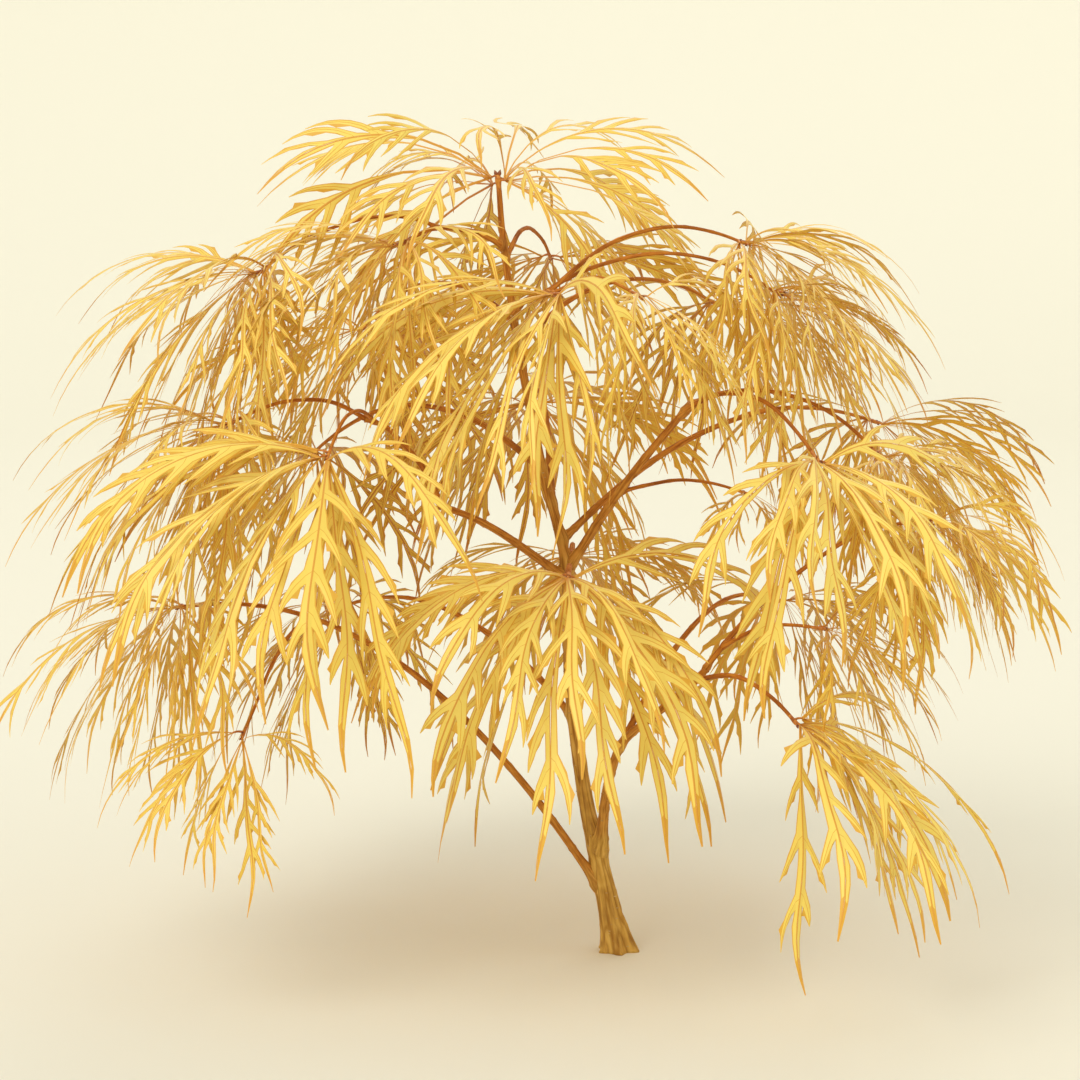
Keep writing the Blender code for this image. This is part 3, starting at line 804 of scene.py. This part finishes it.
def draw_fork(sheet, style, stalk, low, behind, inner, fork):
    """The blade from the last cut to this one, with the segment between. Gives the row at this cut."""
    sin, cos = math.sin(fork.angle), math.cos(fork.angle)
    shoulder = half_width(style, stalk, fork.cut) * dice.uniform(*SHOULDERS)
    back = max(0, fork.depth + 2 * fork.width * cos - shoulder) / sin
    begins = fork.cut - 2 * fork.width * sin - back * cos - FILLET
    begins = max(begins, behind + LEAST_WIDENING * (fork.cut - behind))
    for share, eased in WIDENING:
        high = sheet.row(behind + (begins - behind) * share, inner + (shoulder - inner) * eased)
        sheet.strip(low, high, (RIB_ZONE, BLADE_ZONE, EDGE_ZONE))
        low = high
    middle = (begins + fork.cut) / 2
    axis = fork.depth + fork.width * cos - (fork.cut - fork.width * sin - middle) * sin / cos
    axis = min(max(axis, VEIN_FOOT[0] * fork.depth), VEIN_FOOT[1] * shoulder)
    rows = [low]
    for u in (middle - VEIN_WIDTH, middle + VEIN_WIDTH):
        rows.append(sheet.row(u, axis, to_margin=False) + [sheet.dot(u, axis, -VEIN_FOOT_FOLD * axis)])
    rows.append(sheet.row(fork.cut, fork.depth))
    for before, after, zone in zip(rows, rows[1:], (BLADE_ZONE, EDGE_ZONE, BLADE_ZONE)):
        sheet.strip(before[:3], after[:3], (RIB_ZONE, zone))
    draw_segment(sheet, [low[3], low[2], rows[1][2], rows[2][2], rows[3][2], rows[3][3]], fork)
    return rows[3]


def draw_half(style, stalk):
    """One side of a lobe: its stalk, its forks and its long tip."""
    sheet = Drawing()
    count = int(dice.integers(*style.cuts))
    first, last = stalk + dice.uniform(*FIRST_CUT), dice.uniform(*LAST_CUT)
    stray = dice.uniform(-CUT_STRAY, CUT_STRAY, count)
    cuts = np.linspace(first, last, count) + stray * (last - first) / count
    low = draw_rows(sheet, style, stalk, None, (0.0, 0.5 * stalk, stalk))
    behind, inner = stalk, half_width(style, stalk, stalk)
    for index, cut in enumerate(cuts):
        fork = rolled_fork(style, stalk, cut, index / count)
        low = draw_fork(sheet, style, stalk, low, behind, inner, fork)
        behind, inner = fork.cut, fork.depth
    draw_rows(sheet, style, stalk, low, np.linspace(behind, 1.0, ROWS_TO_TIP + 1)[1:])
    return sheet


# %% [markdown]
# Patterns
#
# Some whole lobes are drawn in each of three styles, all different, and every lobe on the tree is one
# of them, laid along its own rib. The bright front leaves are broad, those of the outer and back tufts
# slender, and those at the top arch out on long bare stalks.

# %% Lobe patterns
Flat = namedtuple("Flat", "points quads zones")
PATTERNS = 24


def lobe_pattern(style):
    """Both halves of a lobe. The right one is a left one turned over, so its faces are turned back."""
    stalk = dice.uniform(*style.stalk)
    left, right = draw_half(style, stalk), draw_half(style, stalk)
    over = np.array(right.points) * (1, -1, 1)
    quads = np.vstack([left.quads, np.array(right.quads)[:, ::-1] + len(left.points)])
    return Flat(np.vstack([left.points, over]), quads, np.array(left.zones + right.zones))


LOBE_PATTERNS = {cut: [lobe_pattern(style) for _ in range(PATTERNS)] for cut, style in STYLES.items()}
print(f"{PATTERNS} patterns of each style, of about {len(LOBE_PATTERNS['broad'][0].quads)} faces")

# %% [markdown]
# The rule of growth
#
# The solids' rule is written again here: the lobes' directions step round by the golden ratio and up
# by another fixed share, so any number of them is spread evenly. Most masses get more lobes than their
# solid has, and the broad front ones about as many. Neighbours in direction are then grouped into
# leaves of about seven lobes, as a maple bears them, and each leaf hangs on its own arching stalk.

# %% Directions
CLEAR = 0.0003
STEP_ROUND, FIRST_ROUND = 0.618034, 0.5
STEP_UP, FIRST_UP = 0.414214, 0.3
SLOPE_LOW_END = math.radians(-84)
LOBES_PER_LEAF = 7
LOW_SHARE = 0.6


def heading(azimuth, slope):
    flat = np.cos(slope)
    return np.stack([np.cos(azimuth) * flat, np.sin(azimuth) * flat, np.sin(slope)], axis=-1)


def lobe_plan(mass):
    """Azimuth, first slope and end slope of each lobe, sorted by azimuth."""
    index = np.arange(round(mass.lobes * mass.density))
    aside = 2 * ((index * STEP_ROUND + FIRST_ROUND) % 1) - 1
    azimuth = np.radians(mass.facing + mass.spread * aside)
    height = (index * STEP_UP + FIRST_UP) % 1
    slope = np.radians(mass.lowest + (mass.highest - mass.lowest) * height)
    end_slope = SLOPE_LOW_END + (math.radians(mass.droop) - SLOPE_LOW_END) * height
    ahead = np.abs(azimuth - math.radians(mass.facing)) < math.radians(mass.parting)
    parted = ahead & (height < LOW_SHARE)
    plan = np.stack([azimuth, slope, end_slope], axis=1)[~parted]
    return plan[np.argsort(plan[:, 0])]


# %% [markdown]
# Laying a lobe along its rib
#
# Each rib sets off from the leaf's middle at its first slope and bends evenly down to its end slope.
# Its tip sways a little. The flat lobe is then laid along it: a point's place along picks the spot
# on the rib, and its place aside and up is measured along two directions that travel with the rib.
# The upper face looks up and out, and leans towards the side that the whole mass faces.

# %% Ribs
RIB_STEPS = 24
WANDER, WANDER_WAVES = 0.30, (0.8, 2.2)
SWAY, SWAY_WAVES = 0.030, 9
LEANS_OUT, LEANS_TO_FACING = 0.2, 1.0
ROLL = math.radians(26)
TWIST = math.radians(40)


def rib_line(start, azimuth, slope, end_slope, length):
    share = step_middles(RIB_STEPS)
    wander = dice.uniform(-WANDER, WANDER) * np.sin(share * math.pi * dice.uniform(*WANDER_WAVES)) * share
    line = walked(start, heading(azimuth + wander, slope + (end_slope - slope) * share), length)
    share = np.linspace(0, 1, RIB_STEPS + 1)
    beside = heading(azimuth + math.pi / 2, 0.0)
    sway = SWAY * length * share**2 * np.sin(share * SWAY_WAVES + dice.uniform(0, math.tau))
    return line + sway[:, None] * beside


def laid(flat, line, azimuth, facing, length, breadth):
    """The flat lobe's points, laid along the rib."""
    ways = unit(np.gradient(line, axis=0))
    outer = UP - ways * (ways @ UP)[:, None] + LEANS_OUT * heading(azimuth, 0.0)
    looks = unit(outer) + LEANS_TO_FACING * heading(facing, 0.0)
    across = unit(np.cross(looks, ways))
    top = np.cross(ways, across)
    share = np.linspace(0, 1, len(line))
    roll = (dice.uniform(-ROLL, ROLL) + dice.uniform(-TWIST, TWIST) * share**2)[:, None]
    across, top = across * np.cos(roll) + top * np.sin(roll), top * np.cos(roll) - across * np.sin(roll)
    at = np.minimum(flat.points[:, 0], 1.0)
    spot, side, rise = (
        np.stack([np.interp(at, share, part[:, axis]) for axis in range(3)], axis=1)
        for part in (line, across, top)
    )
    past = (flat.points[:, 0] - at)[:, None] * ways[-1] * length
    aside = flat.points[:, 1:2] * length * breadth
    up = flat.points[:, 2:3] * length
    return spot + side * aside + rise * up + past


# %% [markdown]
# Keeping clear of the wood
#
# A leaf hangs beside a bough, not through it. Each rib is held against points along all the limbs, and
# one that comes too close is turned a little and tried again.

# %% Room beside the limbs
WOOD_STEP = 3
WOOD = np.vstack([line[::WOOD_STEP] for line in LINES.values()])
ROOM, ROOM_FROM = 0.0055, 5
TURNS_TRIED = (0, 9, -9, 18, -18, 28, -28, 40, -40)
GROUND_ROOM = 0.012


def clear_rib(start, azimuth, slope, end_slope, length):
    """The rib at the first turn that keeps clear of wood and ground, or None."""
    for turn in TURNS_TRIED:
        way = azimuth + math.radians(turn)
        line = rib_line(start, way, slope, end_slope, length)
        far = line[ROOM_FROM:]
        gaps = np.linalg.norm(far[:, None, :] - WOOD[None, :, :], axis=2)
        if gaps.min() > ROOM and far[:, 2].min() > GROUND_ROOM:
            return line, way
    return None


# %% [markdown]
# Autumn colours
#
# The leaves turn lemon, gold, amber and ochre, and each tuft's light picks among these tints as
# painted light and shade: the front tufts are painted lemon and gold, the outer ones gold and amber,
# and the back and inner ones ochre as painted shade. Most leaves of a bright tuft have orange ribs and
# amber edges, and most of a dull one, painted in shade, rust ribs and russet edges. The colour of a
# leaf has its place, so it isn't painted by a pattern: each leaf, as one spray, is dealt one of five
# plain tints, and its ribs, edges and main veins are faces of their own. A fine bump breaks the shine
# as the leaf's soft surface does.

# %% Leaf materials
LEAF_GRAIN, LEAF_GRAIN_STRENGTH = 900.0, 0.25
LEAF_FINISH = {"Roughness": 0.5, "Sheen Weight": 0.15}
EDGE_TINTS = (("russet_edge", (0.620, 0.290, 0.022)), ("amber_edge", (0.770, 0.420, 0.034)))
BLADE_TINTS = (
    ("ochre_blade", (0.700, 0.435, 0.048)),
    ("amber_blade", (0.780, 0.515, 0.058)),
    ("gold_blade", (0.840, 0.585, 0.074)),
    ("bright_gold_blade", (0.880, 0.645, 0.096)),
    ("lemon_blade", (0.910, 0.695, 0.128)),
)
RIB_TINTS = (("rust_rib", (0.550, 0.200, 0.018)), ("orange_rib", (0.730, 0.340, 0.030)))
BLADE_SPREAD = 0.7
BRIGHT_FROM, BRIGHT_SPREAD = 0.45, 0.2


def leaf_material(name, colour):
    made, tree, shader = new_material(name, {"Base Color": (*colour, 1.0), **LEAF_FINISH})
    fine_skin(tree, shader, LEAF_GRAIN, LEAF_GRAIN_STRENGTH)
    return made


def dealt_tint(light):
    """A spray's edge, blade and rib, as places in the list of leaf materials."""
    brightest = len(BLADE_TINTS) - 1
    # Painted light and shade: a bright tuft gets lighter blades, orange ribs and amber edges, and a dull
    # (shaded) one ochre blades, rust ribs and russet edges, with some spread by chance
    blade = int(np.clip(round(light * brightest + dice.normal(0, BLADE_SPREAD)), 0, brightest))
    bright = int(light + dice.normal(0, BRIGHT_SPREAD) > BRIGHT_FROM)
    first_blade = len(EDGE_TINTS)
    return bright, first_blade + blade, first_blade + len(BLADE_TINTS) + bright


LEAF_MATERIALS = [leaf_material(*tint) for tint in EDGE_TINTS + BLADE_TINTS + RIB_TINTS]
print(f"{len(LEAF_MATERIALS)} leaf materials")


# %% [markdown]
# Leaves on their stalks
#
# A mass's stem carries on from its limb's tip, thickens to a knot and runs out between two end buds.
# The leaves leave it one after another, those most in line with it last, each on a stalk that arches
# out to the leaf's middle. Part of the stalk's length is taken off its lobes, so the leaves reach about
# as far as the solid did. A smaller bud sits where each stalk leaves the stem.

# %% Grow one mass
STEM_LENGTH, STEM_STEPS = 0.011, 10
KNOT_AT = (0, 0.3, 0.6, 0.85, 1)
KNOT = (1.0, 1.05, 1.3, 1.2, 0.4)
STALK_LENGTH, STALK_STEPS = 0.007, 6
STALK_LENGTHS, STALK_SLOPES = (0.6, 1.3), (0.1, 0.6)
STALK_BEND = 0.8
STALK_TAPER = (1.25, 0.85)
USED_UP = 0.5
FULL_LENGTH = 1.05
LENGTH_SPREAD = 0.13
BREADTH_SPREAD = 0.2
END_BUD = 2.5
END_BUD_TURN = 0.34
ASKEW = (0.1, 1.0, 0.2)
SIDE_BUD, SIDE_BUD_SLOPE = 0.0030, 0.9
LEAVES_FROM, LEAVES_TO = 0.30, 1.0
FEWEST_LEAVES = 2
SHARP_EDGE = math.radians(32)
Twig = namedtuple("Twig", "line radii")
Bud = namedtuple("Bud", "place way size")
TWIGS, BUDS = [], []


def grow_stalk(start, azimuth, slope, length):
    """A leaf's stalk. Gives its end, where the lobes meet."""
    share = step_middles(STALK_STEPS)
    line = walked(start, heading(azimuth + 0 * share, slope - STALK_BEND * share), length)
    TWIGS.append(Twig(line, np.linspace(*STALK_TAPER, STALK_STEPS + 1) * STALK_RADIUS))
    return line[-1]


def grow_stem(bough, tip_radius):
    """The stem of a mass and its end buds. Gives its line and the way it points."""
    out = unit(bough[-1] - bough[-2])
    share = np.linspace(0, 1, STEM_STEPS + 1)
    line = bough[-1] - out * CLEAR + out * (STEM_LENGTH + CLEAR) * share[:, None]
    TWIGS.append(Twig(line, tip_radius * np.interp(share, KNOT_AT, KNOT)))
    beside = unit(np.cross(out, ASKEW))
    for turn in (-END_BUD_TURN, END_BUD_TURN):
        place = line[-2] + turn * tip_radius * beside
        BUDS.append(Bud(place, unit(out + turn * beside), END_BUD * tip_radius))
    return line, out


def grow_mass(mass, bough, tip_radius):
    """All the leaves of one mass, as arrays of points, quads and materials, and the number of lobes."""
    stem, out = grow_stem(bough, tip_radius)
    plan = lobe_plan(mass)
    leaves = np.array_split(plan, max(FEWEST_LEAVES, round(len(plan) / LOBES_PER_LEAF)))
    leaves.sort(key=lambda leaf: heading(leaf[:, 0], leaf[:, 1]).mean(axis=0) @ out)
    points, quads, slots, count = [], [], [], 0
    for index, leaf in enumerate(leaves):
        root = point_on(stem, LEAVES_FROM + (LEAVES_TO - LEAVES_FROM) * (index + 0.5) / len(leaves))
        middle = leaf[:, 0].mean()
        stalk_length = STALK_LENGTH * dice.uniform(*STALK_LENGTHS)
        hub = grow_stalk(root, middle, dice.uniform(*STALK_SLOPES), stalk_length)
        BUDS.append(Bud(root, unit(heading(middle, SIDE_BUD_SLOPE) + out), SIDE_BUD))
        # The tuft's light paints light and shade into this leaf's tints
        tint = dealt_tint(mass.light)
        for azimuth, slope, end_slope in leaf:
            length = mass.length * (FULL_LENGTH + LENGTH_SPREAD * dice.uniform(-1, 1))
            length -= USED_UP * stalk_length
            found = clear_rib(hub, azimuth, slope, end_slope, length)
            if found is None:
                continue
            line, way = found
            flat = LOBE_PATTERNS[mass.cut][dice.integers(PATTERNS)]
            mirrored = dice.choice((-1, 1))
            breadth = mass.breadth * (1 + BREADTH_SPREAD * dice.uniform(-1, 1)) * mirrored
            points.append(laid(flat, line, way, math.radians(mass.facing), length, breadth))
            quads.append((flat.quads if mirrored > 0 else flat.quads[:, ::-1]) + count)
            slots.append(np.array(tint)[flat.zones])
            count += len(flat.points)
    return np.vstack(points), np.vstack(quads), np.concatenate(slots), len(slots)


def mesh_from_arrays(name, points, quads, slots, materials):
    """A mesh of quads from arrays, holding only the materials that its faces use."""
    mesh = bpy.data.meshes.new(name)
    mesh.vertices.add(len(points))
    mesh.vertices.foreach_set("co", points.astype(np.float32).ravel())
    mesh.loops.add(quads.size)
    mesh.loops.foreach_set("vertex_index", quads.astype(np.int32).ravel())
    mesh.polygons.add(len(quads))
    mesh.polygons.foreach_set("loop_start", np.arange(len(quads), dtype=np.int32) * 4)
    used, slots = np.unique(slots, return_inverse=True)
    for index in used:
        mesh.materials.append(materials[index])
    mesh.polygons.foreach_set("material_index", slots.astype(np.int32).ravel())
    mesh.update(calc_edges=True)
    mesh.validate()
    mesh.shade_smooth()
    mesh.set_sharp_from_angle(angle=SHARP_EDGE)
    return mesh


# %% Grow all the masses
lobes_grown = 0
for mass in MASSES:
    limb = LIMB_UNDER.get(mass.name)
    under = (LINES[limb.name], limb.tip_radius) if limb else (LINES["trunk"], TRUNK_TIP_RADIUS)
    points, quads, slots, lobes = grow_mass(mass, *under)
    lobes_grown += lobes
    leaf_mesh = mesh_from_arrays(mass.name + "_leaves", points, quads, slots, LEAF_MATERIALS)
    shown(mass.name + "_leaves", leaf_mesh, "leaves", mass.name + "_foliage")
    low, high = map(np.array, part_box(mass.name + "_foliage"))
    room = np.round(np.stack([points.min(axis=0) - low, high - points.max(axis=0)]) * 1000)
    print(f"{mass.name}: {lobes} lobes, {2 * len(quads)} triangles, {room.tolist()} mm in the solid's box")
print(f"{lobes_grown} lobes in all")

# %% [markdown]
# Stalks and stems by Geometry Nodes
#
# About a hundred stems and stalks each follow a line of their own. Geometry Nodes suit this well: they
# go in as one mesh of loose edges with a thickness at each point, and the tree turns every line into
# a curve and sweeps a circle along it.

# %% Sweep the stalks
ROUND_SIDES = 10


def geometry_tree(name, **sizes):
    """A new tree with inputs for these sizes and a material. Gives it, its inputs and its output node."""
    tree = bpy.data.node_groups.new(name, "GeometryNodeTree")
    for size, kind in {"Geometry": "Geometry", **sizes, "Material": "Material"}.items():
        tree.interface.new_socket(size, in_out="INPUT", socket_type="NodeSocket" + kind)
    tree.interface.new_socket("Geometry", in_out="OUTPUT", socket_type="NodeSocketGeometry")
    return tree, tree.nodes.new("NodeGroupInput").outputs, tree.nodes.new("NodeGroupOutput")


def run_tree(mesh, tree, values):
    """Runs a tree on a mesh, with its inputs set by identifier, and gives the result as a plain mesh."""
    thing = placed(tree.name, mesh)
    modifier = thing.modifiers.new(tree.name, "NODES")
    modifier.node_group = tree
    for item in tree.interface.items_tree:
        if item.in_out == "INPUT" and item.name in values:
            modifier[item.identifier] = values[item.name]
    graph = bpy.context.evaluated_depsgraph_get()
    made = bpy.data.meshes.new_from_object(thing.evaluated_get(graph))
    thing.modifiers.clear()
    bpy.data.objects.remove(thing)
    return made


def carried(tree, name, kind="FLOAT"):
    """A value that each point carries."""
    return add(tree, "GeometryNodeInputNamedAttribute", {"Name": name}, data_type=kind)


def swept(tree, curves, thickness, sides):
    """A circle swept along curves, as thick as the thickness at each point."""
    sized = add(tree, "GeometryNodeSetCurveRadius", {"Curve": curves, "Radius": thickness})
    circle = add(tree, "GeometryNodeCurvePrimitiveCircle", {"Resolution": sides, "Radius": 1.0})
    sweep = {"Curve": sized, "Profile Curve": circle, "Fill Caps": True}
    tube = new_node(tree, "GeometryNodeCurveToMesh", sweep)
    if "Scale" in tube.inputs:
        tree.links.new(thickness, tube.inputs["Scale"])
    return add(tree, "GeometryNodeSetShadeSmooth", {"Geometry": tube.outputs[0]})


def finished(tree, shape, given, out):
    """Makes the instances real and gives them their material."""
    whole = add(tree, "GeometryNodeRealizeInstances", {"Geometry": shape})
    painted = new_node(tree, "GeometryNodeSetMaterial", {"Geometry": whole, "Material": given["Material"]})
    tree.links.new(painted.outputs[0], out.inputs[0])
    return tree


def stalk_tree():
    tree, given, out = geometry_tree("swept_stalks", Sides="Int")
    curves = add(tree, "GeometryNodeMeshToCurve", {"Mesh": given["Geometry"]})
    return finished(tree, swept(tree, curves, carried(tree, "thickness"), given["Sides"]), given, out)


lines, radii = zip(*TWIGS)
starts = np.cumsum([0] + [len(line) for line in lines])
edges = [(start + i, start + i + 1) for start, line in zip(starts, lines) for i in range(len(line) - 1)]
twig_lines = drawn_mesh("twig_lines", np.vstack(lines), edges, [], thickness=np.concatenate(radii))
stalks = run_tree(twig_lines, stalk_tree(), {"Sides": ROUND_SIDES, "Material": STALK_BARK})
shown("leaf_stalks", stalks, "twigs")
print(f"{len(TWIGS)} stems and stalks, {len(stalks.polygons)} faces")

# %% [markdown]
# Buds by Geometry Nodes
#
# A maple's buds sit in pairs, plump and pointed, in dark scales. One bud is a circle swept along a
# short upright line whose radius follows a curve, and the tree sets a copy of it on every point,
# turned to the point's way and as long as the point's size.

# %% Set the buds
BUD_OUTLINE = ((0.0, 0.15), (0.15, 0.26), (0.35, 0.30), (0.6, 0.24), (0.85, 0.10), (1.0, 0.01))
BUD_RINGS = 9


def bud_tree():
    tree, given, out = geometry_tree("set_buds", Sides="Int")
    line = add(tree, "GeometryNodeCurvePrimitiveLine", {"End": (0.0, 0.0, 1.0)})
    finer = add(tree, "GeometryNodeResampleCurve", {"Curve": line, "Count": BUD_RINGS})
    share = add(tree, "GeometryNodeSplineParameter", output="Factor")
    plump = new_node(tree, "ShaderNodeFloatCurve", {"Value": share})
    outline = plump.mapping.curves[0].points
    outline[0].location, outline[1].location = BUD_OUTLINE[0], BUD_OUTLINE[-1]
    for place in BUD_OUTLINE[1:-1]:
        outline.new(*place)
    plump.mapping.update()
    bud = swept(tree, finer, plump.outputs[0], given["Sides"])
    way = carried(tree, "way", "FLOAT_VECTOR")
    turn = add(tree, "FunctionNodeAlignRotationToVector", {"Vector": way}, axis="Z")
    sown = {"Points": given["Geometry"], "Instance": bud, "Rotation": turn, "Scale": carried(tree, "size")}
    return finished(tree, add(tree, "GeometryNodeInstanceOnPoints", sown), given, out)


places, ways, sizes = zip(*BUDS)
bud_points = drawn_mesh("bud_points", places, [], [], way=ways, size=sizes)
buds = run_tree(bud_points, bud_tree(), {"Sides": ROUND_SIDES, "Material": BUD_BARK})
shown("buds", buds, "twigs")
print(f"{len(BUDS)} buds, {len(buds.polygons)} faces")

# %% [markdown]
# Lenticels by Geometry Nodes
#
# Maple bark breathes through lenticels, small corky lenses that lie across the wood. They are strewn
# over the trunk and the second stem, from just above the ground, with a fixed seed and a little apart.
# Each is turned first to stand out of the bark and then to lie level.

# %% Strew the lenticels
LENTICELS_FROM = 0.002
LENS_SHAPE = (1.0, 0.42, 0.24)
LENS_LENGTHS = (0.4, 1.7)
LENS_SUBDIVISIONS, LENS_FACES = 2, 80
LENTICELS = {"Spacing": 0.0016, "Density": 12000.0, "Seed": 6, "Length": 0.0015, "Material": LENTICEL_CORK}


def strewn_points(tree, given):
    """Points strewn over the mesh, none of them low on the foot."""
    place = add(tree, "GeometryNodeInputPosition")
    height = add(tree, "ShaderNodeSeparateXYZ", {0: place}, output=2)
    above = add(tree, "FunctionNodeCompare", {0: height, 1: LENTICELS_FROM}, operation="GREATER_THAN")
    strewing = {"Mesh": given["Geometry"], "Selection": above, "Distance Min": given["Spacing"],
                "Density Max": given["Density"], "Seed": given["Seed"]}
    strewn = new_node(tree, "GeometryNodeDistributePointsOnFaces", strewing, distribute_method="POISSON")
    return strewn.outputs


def lying_level(tree, normal):
    """A turn that points +Z out of the bark and +X level along it."""
    level = add(tree, "ShaderNodeVectorMath", {0: normal, 1: tuple(UP)}, operation="CROSS_PRODUCT")
    outward = add(tree, "FunctionNodeAlignRotationToVector", {"Vector": normal}, axis="Z")
    turns = {"Rotation": outward, "Vector": level}
    return add(tree, "FunctionNodeAlignRotationToVector", turns, axis="X", pivot_axis="Z")


def lenticel_tree():
    sizes = {"Spacing": "Float", "Density": "Float", "Seed": "Int", "Length": "Float"}
    tree, given, out = geometry_tree("strewn_lenticels", **sizes)
    strewn = strewn_points(tree, given)
    ball = add(tree, "GeometryNodeMeshIcoSphere", {"Radius": 0.5, "Subdivisions": LENS_SUBDIVISIONS})
    lens = add(tree, "GeometryNodeTransform", {"Geometry": ball, "Scale": LENS_SHAPE})
    between = {2: LENS_LENGTHS[0], 3: LENS_LENGTHS[1], "Seed": given["Seed"]}
    longer = add(tree, "FunctionNodeRandomValue", between, output=1)
    size = add(tree, "ShaderNodeMath", {0: given["Length"], 1: longer}, operation="MULTIPLY")
    turn = lying_level(tree, strewn["Normal"])
    sown = {"Points": strewn["Points"], "Instance": lens, "Rotation": turn, "Scale": size}
    many = add(tree, "GeometryNodeInstanceOnPoints", sown)
    smooth = add(tree, "GeometryNodeSetShadeSmooth", {"Geometry": many})
    return finished(tree, smooth, given, out)


for name in ("trunk", "second_stem"):
    lenticels = run_tree(bpy.data.objects[name + "_bark"].data.copy(), lenticel_tree(), LENTICELS)
    shown(name + "_lenticels", lenticels, "bark")
    print(f"{len(lenticels.polygons) // LENS_FACES} lenticels on the {name}")

# %% [markdown]
# Floor, light and camera
#
# The plant stands on a plain pale floor in soft studio light. A photographer's floor curves up into a
# wall, so that no horizon shows. Here that curve goes all the way round, and it is one surface of
# revolution. The camera looks from the front and a little above, from far off, as the photo does.

# %% Stage
FLOOR_RADIUS = 3.2
WALL_RADIUS = 5.0
WALL_HEIGHT = 2.0
STAGE_SIDES, STAGE_BENDS = 96, 12
FLOOR_FINISH = {"Base Color": (0.83, 0.81, 0.69, 1.0), "Roughness": 0.9}
ROOM_LIGHT = {"Color": (1.0, 0.98, 0.92, 1.0), "Strength": 0.72}
# Where each light comes from, its strength, its width in degrees and its colour
LIGHTS = {
    "key": ((-1.5, -2.0, 2.4), 1.2, 35, (1.0, 0.98, 0.93)),
    "fill": ((2.2, -1.6, 1.2), 0.40, 50, (1.0, 0.98, 0.95)),
    "back": ((0.6, 2.2, 2.0), 0.50, 40, (1.0, 0.97, 0.90)),
}
PIXEL = 0.00072
PICTURE_WIDTH = 1080
CAMERA_DISTANCE = 2.4
CAMERA_ELEVATION = math.radians(9)
CAMERA_TARGET = np.array((-0.056, 0.0, 0.305))
SENSOR = 36.0


def stage_mesh():
    """The floor and the wall, as a profile turned round +Z. The faces look inwards."""
    bend = WALL_RADIUS - FLOOR_RADIUS
    turns = np.linspace(0, math.pi / 2, STAGE_BENDS + 1)
    profile = [(FLOOR_RADIUS + bend * math.sin(turn), bend - bend * math.cos(turn)) for turn in turns]
    profile += [(WALL_RADIUS, WALL_HEIGHT)]
    spokes = [(math.cos(angle), math.sin(angle)) for angle in round_angles(STAGE_SIDES)]
    points = [(radius * x, radius * y, height) for radius, height in profile for x, y in spokes]
    faces = tube_faces(len(profile), STAGE_SIDES)[:-1]
    return drawn_mesh("stage", points, [], [list(reversed(face)) for face in faces])


def turned(way):
    """The turn of a lamp or a camera that points its +Z this way, and so shines or looks back."""
    return Vector(tuple(way)).to_track_quat("Z", "Y").to_euler()


def soft_light(name, place, strength, width, colour):
    """A light from the direction of place, as wide as an angle in degrees, and as strong all over."""
    lamp = bpy.data.lights.new(name, "SUN")
    lamp.angle = math.radians(width)
    lamp.energy = strength
    lamp.color = colour
    thing = placed(name, lamp)
    thing.location = place
    thing.rotation_euler = turned(place)


floor = placed("floor", stage_mesh())
floor.data.materials.append(new_material("pale_floor", FLOOR_FINISH)[0])
bpy.context.scene.view_settings.view_transform = "Standard"

world = bpy.data.worlds.new("pale_room")
bpy.context.scene.world = world
world.use_nodes = True
for socket, value in ROOM_LIGHT.items():
    world.node_tree.nodes["Background"].inputs[socket].default_value = value
for name, light in LIGHTS.items():
    soft_light(name, *light)

camera_data = bpy.data.cameras.new("camera")
camera_data.sensor_width = SENSOR
camera_data.lens = SENSOR * CAMERA_DISTANCE / (PIXEL * PICTURE_WIDTH)
camera = placed("camera", camera_data)
back = np.array((0.0, -math.cos(CAMERA_ELEVATION), math.sin(CAMERA_ELEVATION)))
camera.location = CAMERA_TARGET + back * CAMERA_DISTANCE
camera.rotation_euler = turned(back)
bpy.context.scene.camera = camera
